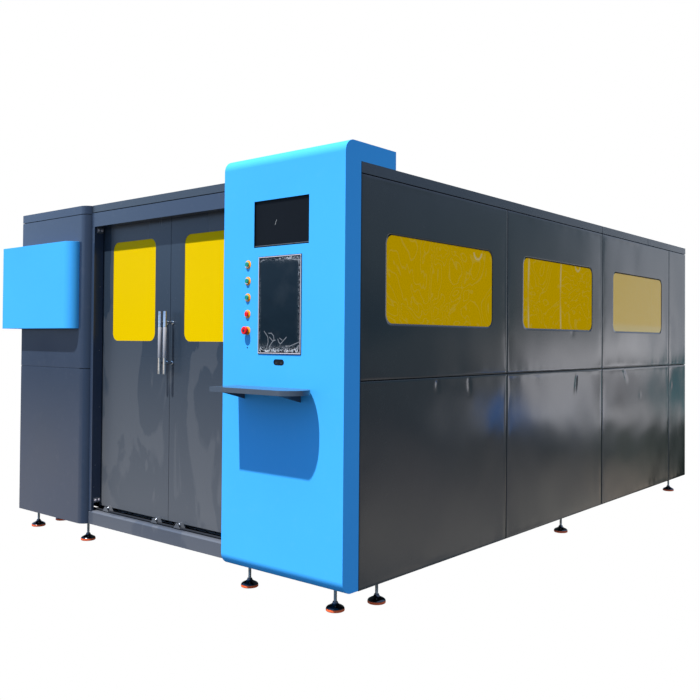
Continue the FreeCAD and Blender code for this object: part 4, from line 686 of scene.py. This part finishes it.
# For each pane: folds as (place along Y, strength of the painted highlight on it), bubbles as (centre,
# height, radius), paleness, finish.
loose_films = [([], [((-1.080, 1.776), 0.0012, 0.018)], 0.0, acrylic_side_painted_light),
               ([(-0.478, 0.50), (-0.036, 0.50)], [((0.221, 1.794), 0.0012, 0.016)], 0.0, acrylic_side_painted_light),
               ([(1.6, 0.05)], [], 0.15, acrylic_far_painted_light)]
for index, ((low, high), marks) in enumerate(zip(windows, loose_films)):
    film_pane(f"side_pane_{index + 1}", low, high, 40 + index, *marks)

# ---------------------------------------------------------------- covers and leaves with softened edges
softened("tower_shell", 0.0015, blue_coat)
softened("side_pod", 0.0015, blue_coat)
for cover, radius, finish in (("cabinet_panels", 0.0015, charcoal), ("roof_covers", 0.0012, roof_coat),
                              ("door_header", 0.0015, charcoal), ("door_sill", 0.0015, dusty_coat),
                              ("left_door_leaf", 0.0015, wiped_coat),
                              ("right_door_leaf", 0.0015, wiped_coat)):
    softened(cover, radius, finish)

# ---------------------------------------------------------------- levelling feet
# Profiles as (radius, height): a rubber pad with two grooves round it, and the low domed cup that holds
# it, drawn in to a collar round the stud.
pad_profile = [(0, 0), (0.0425, 0), (0.0440, 0.0012), (0.0450, 0.0035), (0.0443, 0.0050), (0.0450, 0.0065),
               (0.0443, 0.0080), (0.0450, 0.0095), (0.0440, 0.0120), (0, 0.0120)]
cup_profile = [(0, 0.0120), (0.0435, 0.0120), (0.0440, 0.0132), (0.0440, 0.0146), (0.0428, 0.0160),
               (0.0405, 0.0190), (0.0330, 0.0235), (0.0240, 0.0275), (0.0165, 0.0325), (0.0130, 0.0390),
               (0.0118, 0.0430), (0.0095, 0.0440), (0, 0.0440)]
stud_radius, thread_depth, thread_pitch = 0.0080, 0.0009, 0.002
stud_start, stud_length = 0.042, 0.108      # from inside the cup's collar
pads, cups, studs = [], [], []
for low, high in solid_boxes("foot_pads"):
    centre = ((low.x + high.x) / 2, (low.y + high.y) / 2, 0)
    start = (*centre[:2], stud_start)
    pads.append(lathe(pad_profile, centre, steps=48))
    cups.append(lathe(cup_profile, centre, steps=48))
    studs.append(thread_rod(stud_radius, thread_depth, thread_pitch, start, stud_length))
piece("ribbed_foot_pads", pads, orange_rubber, "machine", ("foot_pads",))
piece("foot_cups", cups, dark_chrome, "machine", ("foot_studs",), 30)
piece("threaded_foot_studs", studs, zinc_stud, "machine", ("foot_studs",), 60)
softened("foot_nuts", 0.0008, zinc)

# ---------------------------------------------------------------- door handles
bar_radius, sleeve_radius, pin_radius, flare_radius = 0.010, 0.011, 0.007, 0.011
half_sleeve = 0.0885
pin_inset = 0.065             # from either end of the bar
for side in ("left", "right"):
    body, node = f"{side}_door", f"{side}_door_handle"
    low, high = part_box(node)
    x, y, length = (low.x + high.x) / 2, low.y + sleeve_radius, high.z - low.z
    end = [(0, 0), (bar_radius - 0.0015, 0), (bar_radius - 0.0004, 0.0004), (bar_radius, 0.0015)]
    bar = end + [(radius, length - height) for radius, height in reversed(end)]
    sleeve = [(bar_radius - 0.001, -half_sleeve), (sleeve_radius - 0.0005, -half_sleeve),
              (sleeve_radius, 0.001 - half_sleeve), (sleeve_radius, half_sleeve - 0.001),
              (sleeve_radius - 0.0005, half_sleeve), (bar_radius - 0.001, half_sleeve)]
    reach = high.y - y
    pin = [(0, 0), (pin_radius, 0), (pin_radius, reach - 0.005), (flare_radius - 0.0005, reach - 0.004),
           (flare_radius, reach - 0.002), (flare_radius, reach), (0, reach)]
    pins = [lathe(pin, (x, y, z), (0, 1, 0)) for z in (low.z + pin_inset, high.z - pin_inset)]
    piece(f"{side}_handle_bar", [lathe(bar, (x, y, low.z))], chrome, body, (node,), 30)
    piece(f"{side}_handle_sleeve", [lathe(sleeve, (x, y, (low.z + high.z) / 2))], satin_sleeve, body,
          (node,), 30)
    piece(f"{side}_handle_pins", pins, chrome, body, (node,), 30)

# ---------------------------------------------------------------- lower screen and its film
screen_low, screen_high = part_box("lower_monitor_frame")


def ring_frame(margin, width, height, edge):
    """Frame round the lower screen: its section, with the edge bevelled, goes once round the screen's
    outline, moved inwards by the margin."""
    left, right = screen_low.x + margin, screen_high.x - margin
    foot, top = screen_low.z + margin, screen_high.z - margin
    section = [(0, 0), (0, height - edge), (edge, height), (width - edge, height), (width, height - edge),
               (width, 0)]
    rings = [[(left + i, screen_high.y - h, foot + i), (right - i, screen_high.y - h, foot + i),
              (right - i, screen_high.y - h, top - i), (left + i, screen_high.y - h, top - i)]
             for i, h in section]
    return patch(np.array(rings), wrap_rows=True, wrap_columns=True)


def near_lines(x, z, lines, width):
    """One on the lines, falling to nothing beside them; each line is a run of points."""
    total = 0 * x
    for line in lines:
        for (ax, az), (bx, bz) in zip(line, line[1:]):
            length = (bx - ax) ** 2 + (bz - az) ** 2
            along = np.clip(((x - ax) * (bx - ax) + (z - az) * (bz - az)) / length, 0, 1)
            distance = np.hypot(x - ax - along * (bx - ax), z - az - along * (bz - az))
            total = np.maximum(total, np.exp(-(distance / width) ** 2))
    return total


def film_crumple(x, _, z):
    """How crumpled the film is: bells along its edges, the left one weakest and the foot strongest."""
    left, right = x - screen_low.x, screen_high.x - x
    foot, top = z - screen_low.z, screen_high.z - z
    right_part = 0.8 * np.exp(-(right / 0.012) ** 2) * np.clip(foot / 0.2, 0.15, 1)
    foot_part = 1.3 * np.exp(-(foot / 0.024) ** 2)
    top_part = np.exp(-(top / 0.017) ** 2) * np.clip((left - 0.06) / 0.1, 0.25, 1)
    left_part = 0.6 * np.exp(-(left / 0.010) ** 2) * np.clip(top / 0.12 - 0.4, 0.1, 1)
    return np.clip(right_part + foot_part + top_part + left_part, 0, 1)


piece("lower_screen_trim", [ring_frame(0.0, 0.004, 0.005, 0.001)], bright_trim, "machine",
      ("lower_monitor_frame",), 30)
# A thin black ring just outside the frame stands for the shaded gap round it: painted shade.
piece("lower_screen_shade_ring", [ring_frame(-0.003, 0.004, 0.0008, 0.0002)], black_plastic, "machine",
      (), 30)
piece("lower_screen_border", [ring_frame(0.004, 0.010, 0.0035, 0.001)], black_plastic, "machine",
      ("lower_monitor_frame",), 30)

# The protective film still lies on the lower screen.  It is pulled tight over the middle and crumpled
# at the top right, down the right side and along the foot.
film_margin, film_height = 0.008, 0.0030
x = np.linspace(screen_low.x + film_margin, screen_high.x - film_margin, 140)
z = np.linspace(screen_low.z + film_margin, screen_high.z - film_margin, 260)
x, z = np.meshgrid(x, z, indexing="ij")
lift = 0.0006 + film_crumple(x, 0, z) * (swell(x, z, 91, 0.03, 0.0010) + swell(x, z, 92, 0.011, 0.0005))
lift = lift + swell(x, z, 93, 0.16, 0.0002)
film = piece("lower_screen_film", [patch(np.stack([x, screen_high.y - film_height - lift, z], -1))],
             crumpled_film, "machine", (), 60, (0, -1, 0))

# Sharp folds of the film near its foot and at its corners, as shares of the screen's width and height.
# They are drawn only as painted highlight lines, not in the film's shape.
glint_fold_runs = [
    [(0.15, 0.23), (0.20, 0.20), (0.24, 0.17), (0.25, 0.12), (0.22, 0.07)],
    [(0.26, 0.21), (0.33, 0.21), (0.38, 0.18), (0.39, 0.14), (0.33, 0.11), (0.27, 0.06)],
    [(0.28, 0.17), (0.36, 0.13), (0.42, 0.14)],
    [(0.48, 0.15), (0.50, 0.12), (0.54, 0.10), (0.60, 0.13), (0.68, 0.17)],
    [(0.52, 0.16), (0.58, 0.14)],
    [(0.66, 0.08), (0.76, 0.08), (0.86, 0.10), (0.96, 0.12)],
    [(0.03, 0.09), (0.07, 0.05), (0.15, 0.03), (0.30, 0.03)],
    [(0.60, 0.03), (0.76, 0.03), (0.90, 0.05), (0.97, 0.09)],
    [(0.62, 0.985), (0.72, 0.965), (0.86, 0.95), (0.97, 0.94)],
    [(0.70, 0.97), (0.78, 0.99)],
    [(0.94, 0.93), (0.965, 0.88), (0.95, 0.80)],
    [(0.05, 0.95), (0.10, 0.97), (0.14, 0.965)]]
spans = (screen_high.x - screen_low.x, screen_high.z - screen_low.z)
glint_fold_lines = [[(screen_low.x + u * spans[0], screen_low.z + v * spans[1]) for u, v in run]
              for run in glint_fold_runs]
paint_grid(film, "crumple", film_crumple)
# Painted highlights: white lines along the folds.
paint_grid(film, "fold", lambda x, _, z: 0.26 * near_lines(x, z, glint_fold_lines, 0.0014))

# ---------------------------------------------------------------- upper screen, stop and socket plate
low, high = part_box("upper_monitor")
lip_bottom = low.z + pane_lap + 0.006
lip = rounded_block((low.x + pane_lap, low.y - 0.002, lip_bottom),
                    (high.x - pane_lap, low.y + 0.001, lip_bottom + 0.003), 0.0008)
piece("upper_screen_lip", [lip], dull_trim, "machine")
# A pale scratch near the middle of the cover, 1.5 mm wide, leaning to the right.
scratch_y = low.y - 0.0002
scratch = np.array([(1.072, scratch_y, 1.838), (1.0735, scratch_y, 1.838),
                    (1.084, scratch_y, 1.864), (1.0825, scratch_y, 1.864)])
piece("upper_screen_scuff", [(scratch, np.array([[0, 1, 2, 3]]))], scuff, "machine", (), 30,
      (0, -1, 0))

# Grey insert in the middle of the emergency stop's face.
low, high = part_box("estop_head")
middle = ((low.x + high.x) / 2, low.y + 0.0002, (low.z + high.z) / 2)
insert = lathe([(0, 0), (0.0055, 0), (0.0070, 0.0006), (0.0070, 0.0012), (0, 0.0012)], middle, (0, -1, 0), 24)
piece("estop_insert", [insert], motor_coat, "estop_head")

# Black plate behind the tower's slot, with two socket tongues on it.
front = tower_low.y
slot_x, slot_z = 1.1135, 1.165
plate = rounded_block((slot_x - 0.040, front + 0.0025, slot_z - 0.020),
                      (slot_x + 0.040, front + 0.012, slot_z + 0.020), 0.003)
sockets = [rounded_block((slot_x + shift, front + 0.0015, slot_z - 0.0065),
                         (slot_x + shift + 0.014, front + 0.004, slot_z - 0.0005), 0.0006)
           for shift in (-0.0235, 0.0085)]
piece("socket_plate", [plate], black_plastic, "machine")
piece("socket_tongues", sockets, motor_coat, "machine")

# ---------------------------------------------------------------- brackets, bolts and rivets of the doorway
jamb_width = 0.028
jamb_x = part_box("door_header")[0].x + jamb_width
tab_thickness = 0.0025
bolt = [(0, 0), (0.0085, 0), (0.0085, 0.0012), (0.0065, 0.0013), (0.0065, 0.0050), (0.0055, 0.0058),
        (0, 0.0058)]
rivet = [(0, 0), (0.0032, 0), (0.0028, 0.0008), (0.0016, 0.0014), (0, 0.0015)]
tabs, bolts, rivets = [], [], []
for tab_low, tab_high in ((0.247, 0.275), (1.938, 1.974)):
    tabs.append(rounded_block((jamb_x, -2.128, tab_low), (jamb_x + tab_thickness, -2.082, tab_high), 0.0008))
    for bolt_y in (-2.116, -2.092):
        bolts.append(lathe(bolt, (jamb_x + tab_thickness, bolt_y, (tab_low + tab_high) / 2), (1, 0, 0), 6))
for rivet_y, rivet_z in ((-2.095, 0.843), (-2.120, 0.480), (-2.128, 0.344), (-2.100, 1.20), (-2.100, 1.60)):
    rivets.append(lathe(rivet, (jamb_x, rivet_y, rivet_z), (1, 0, 0), 16))
piece("jamb_tabs", tabs, dull_trim, "machine")
piece("jamb_bolts", bolts, bright_trim, "machine", (), 25)
piece("jamb_rivets", rivets, dull_trim, "machine")

# A black strip closes the slot under the leaves, between the sill and the floor tray.  Its black is
# painted shade, standing for the dark gap under the doors.
sill_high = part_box("door_sill")[1]
tray_low, tray_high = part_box("floor_tray")
strip_lap = 0.05              # how far it runs on behind the cabinet and the tower
strip = rounded_block((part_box("cabinet_panels")[1].x - strip_lap, sill_high.y + 0.0005, sill_high.z - 0.010),
                      (tower_low.x + strip_lap, tray_low.y - 0.0003, tray_high.z - 0.0002), 0.0008)
piece("threshold_shade_strip", [strip], black_plastic, "machine")

# ---------------------------------------------------------------- camera
heading, pitch, tilt = (math.radians(angle) for angle in (39.888, 0.897, 0.45))
eye = Vector((3.9678, -5.1108, 1.2750))
forward = Vector((-math.sin(heading) * math.cos(pitch), math.cos(heading) * math.cos(pitch), math.sin(pitch)))
level = Vector((math.cos(heading), math.sin(heading), 0))
upright = level.cross(forward)
right = math.cos(tilt) * level + math.sin(tilt) * upright
up = math.cos(tilt) * upright - math.sin(tilt) * level
camera_data = bpy.data.cameras.new("camera")
camera_data.lens = 42.76
camera_data.sensor_width = 36.0
camera_data.shift_y = -0.03236
camera_data.clip_end = 200.0
camera = bpy.data.objects.new("camera", camera_data)
camera.matrix_world = Matrix.Translation(eye) @ Matrix((right, up, -forward)).transposed().to_4x4()
bpy.context.scene.collection.objects.link(camera)
bpy.context.scene.camera = camera

# ---------------------------------------------------------------- lights and surroundings
sunlight = Vector((0.08, 1.0, -2.12))       # the way it travels: from high in front of the doors
sun_data = bpy.data.lights.new("high_sun", "SUN")
sun_data.energy = 8.5
sun_data.angle = math.radians(0.9)
sun_data.color = (1.0, 0.96, 0.92)
sun = bpy.data.objects.new("high_sun", sun_data)
sun.rotation_euler = sunlight.to_track_quat("-Z", "Y").to_euler()
bpy.context.scene.collection.objects.link(sun)

# Plain white floor.  It glows as evenly as the white surroundings, so no edge and no shade is seen on
# it, and only the camera sees it: the light from below comes from the surroundings.
floor_reach = 60.0
floor_mesh = bpy.data.meshes.new("white_floor")
floor_corners = [(x * floor_reach, y * floor_reach, 0) for x, y in ((-1, -1), (1, -1), (1, 1), (-1, 1))]
floor_mesh.from_pydata(floor_corners, [], [(0, 1, 2, 3)])
floor_paint = bpy.data.materials.new("even white floor")
floor_paint.use_nodes = True
floor_paint.node_tree.nodes.clear()
glow = add(floor_paint.node_tree, "Emission", {"Color": (1, 1, 1, 1), "Strength": 1.0})
add(floor_paint.node_tree, "OutputMaterial", {"Surface": glow})
floor_mesh.materials.append(floor_paint)
floor = bpy.data.objects.new("white_floor", floor_mesh)
for rays in ("diffuse", "glossy", "transmission", "volume_scatter", "shadow"):
    setattr(floor, "visible_" + rays, False)
bpy.context.scene.collection.objects.link(floor)

# The machine mirrors a yard under an open sky: bands of light from the ground up to the sky, which
# change from zone to zone as one looks round.  The camera itself sees plain white.
world = bpy.data.worlds.new("yard")
bpy.context.scene.world = world
world.use_nodes = True
tree = world.node_tree
tree.nodes.clear()
outward = add(tree, "TexCoord").outputs["Generated"]
east, north, height = add(tree, "SeparateXYZ", [outward]).outputs
clumps = add(tree, "TexNoise", {"Vector": outward, "Scale": 9.0, "Detail": 3.0})
wobble = add(tree, "MapRange", [clumps, 0.3, 0.7, -0.018, 0.018])
rise = add(tree, "Math", [height, wobble], operation="ADD")
lowest, highest = -0.36, 0.36               # sines of the elevations that the bands cover


def sky_band(stops):
    """Ramp over the elevation in degrees; its colours are linear, and may be brighter than one."""
    share = add(tree, "MapRange", [rise, lowest, highest, 0.0, 1.0])
    places = [((math.sin(math.radians(degrees)) - lowest) / (highest - lowest), (*colour, 1.0))
              for degrees, colour in stops]
    return add(tree, "ValToRGB", [share], places)


def zones(angle, bands, last):
    """Bands side by side, each but the last blending into the next over its own range of the angle."""
    for start, end, band in reversed(bands):
        share = add(tree, "MapRange", [angle, start, end, 0.0, 1.0])
        last = add(tree, "Mix", {"Factor": share, "A": band, "B": last}, data_type="RGBA")
    return last


ground = (0.34, 0.38, 0.42)
sky = (0.46, 0.60, 0.90)
haze = (0.88, 0.84, 0.78)
gravel = (0.50, 0.48, 0.46)
behind_near = sky_band([
    (-20, ground), (-14, (0.90, 0.86, 0.80)), (-9, (0.53, 0.51, 0.51)), (-5.5, (0.24, 0.28, 0.31)),
    (0, (0.28, 0.36, 0.40)), (2, (0.14, 0.25, 0.33)), (7, (0.30, 0.42, 0.50)), (20, sky)])
behind_glow = sky_band([
    (-20, ground), (-12, haze), (-9, gravel), (-6.4, (0.26, 0.28, 0.28)), (-5.4, (0.80, 0.83, 0.88)),
    (-4.2, (1.00, 1.02, 1.08)), (-3.2, (0.42, 0.44, 0.46)), (0, (0.55, 0.57, 0.58)),
    (1.5, (0.34, 0.42, 0.47)), (8, (0.32, 0.43, 0.52)), (20, sky)])
behind_blue = sky_band([
    (-20, ground), (-9, gravel), (-6.4, (0.26, 0.28, 0.30)), (-5.6, (0.16, 0.55, 1.6)),
    (-4.2, (0.16, 0.55, 1.6)), (-3.2, (0.50, 0.55, 0.60)), (0, (0.55, 0.58, 0.58)),
    (1.5, (0.36, 0.44, 0.46)), (8, (0.32, 0.43, 0.52)), (20, sky)])
behind_middle = sky_band([
    (-20, ground), (-12, (0.88, 0.84, 0.76)), (-9, (0.50, 0.48, 0.45)), (-7, (0.16, 0.18, 0.18)),
    (-5.4, (0.50, 0.53, 0.57)), (-4.4, (2.1, 2.15, 2.35)), (-1.0, (1.85, 1.85, 1.95)),
    (1.5, (0.50, 0.55, 0.58)), (8, (0.33, 0.44, 0.54)), (20, sky)])
behind_far = sky_band([
    (-20, ground), (-9.5, (0.95, 0.82, 0.68)), (-7.0, (0.24, 0.27, 0.23)), (-4.9, (0.24, 0.27, 0.24)),
    (-4.4, (1.20, 1.20, 1.25)), (-4.0, (1.40, 1.40, 1.45)), (-3.5, (0.60, 0.60, 0.62)),
    (-2.2, (0.80, 0.80, 0.84)), (-0.8, (2.0, 2.0, 2.1)), (2.0, (1.15, 1.2, 1.3)), (8, (0.90, 1.0, 1.17)),
    (20, sky)])
hedge = sky_band([
    (-9, (0.02, 0.03, 0.01)), (-4.8, (0.03, 0.05, 0.02)), (-4.2, (0.60, 0.70, 0.72)),
    (-3.5, (0.16, 0.42, 0.48)), (-1.5, (0.20, 0.34, 0.38)), (-0.5, (0.85, 0.90, 1.0)),
    (8, (0.85, 0.93, 1.05)), (20, sky)])
beside = sky_band([(-20, ground), (0, (0.22, 0.32, 0.45)), (20, sky)])
before = sky_band([
    (-20, (0.10, 0.12, 0.15)), (-16, (1.00, 0.94, 0.90)), (-8, (0.95, 0.88, 0.80)),
    (-3.5, (0.36, 0.38, 0.36)), (-0.5, (0.08, 0.09, 0.10)), (1.0, (0.16, 0.24, 0.36)),
    (3.5, (0.85, 1.18, 1.72)), (12, (0.90, 1.25, 1.80)), (16, (0.32, 0.62, 1.15))])
slant = add(tree, "Math", [east, north], operation="DIVIDE")
rear = zones(slant, [(0.68, 0.60, behind_near), (0.584, 0.574, behind_glow), (0.543, 0.530, behind_blue),
                     (0.455, 0.40, behind_middle), (0.352, 0.344, behind_far)], hedge)
front = zones(east, [(-0.1, 0.15, before)], beside)
seen = zones(north, [(-0.05, 0.05, front)], rear)
lit = add(tree, "Background", {"Color": seen})
white = add(tree, "Background", {"Color": (1, 1, 1, 1)})
camera_ray = add(tree, "LightPath").outputs["Is Camera Ray"]
either = add(tree, "MixShader", [camera_ray, lit, white])
add(tree, "OutputWorld", {"Surface": either})

bpy.context.scene.view_settings.view_transform = "Standard"
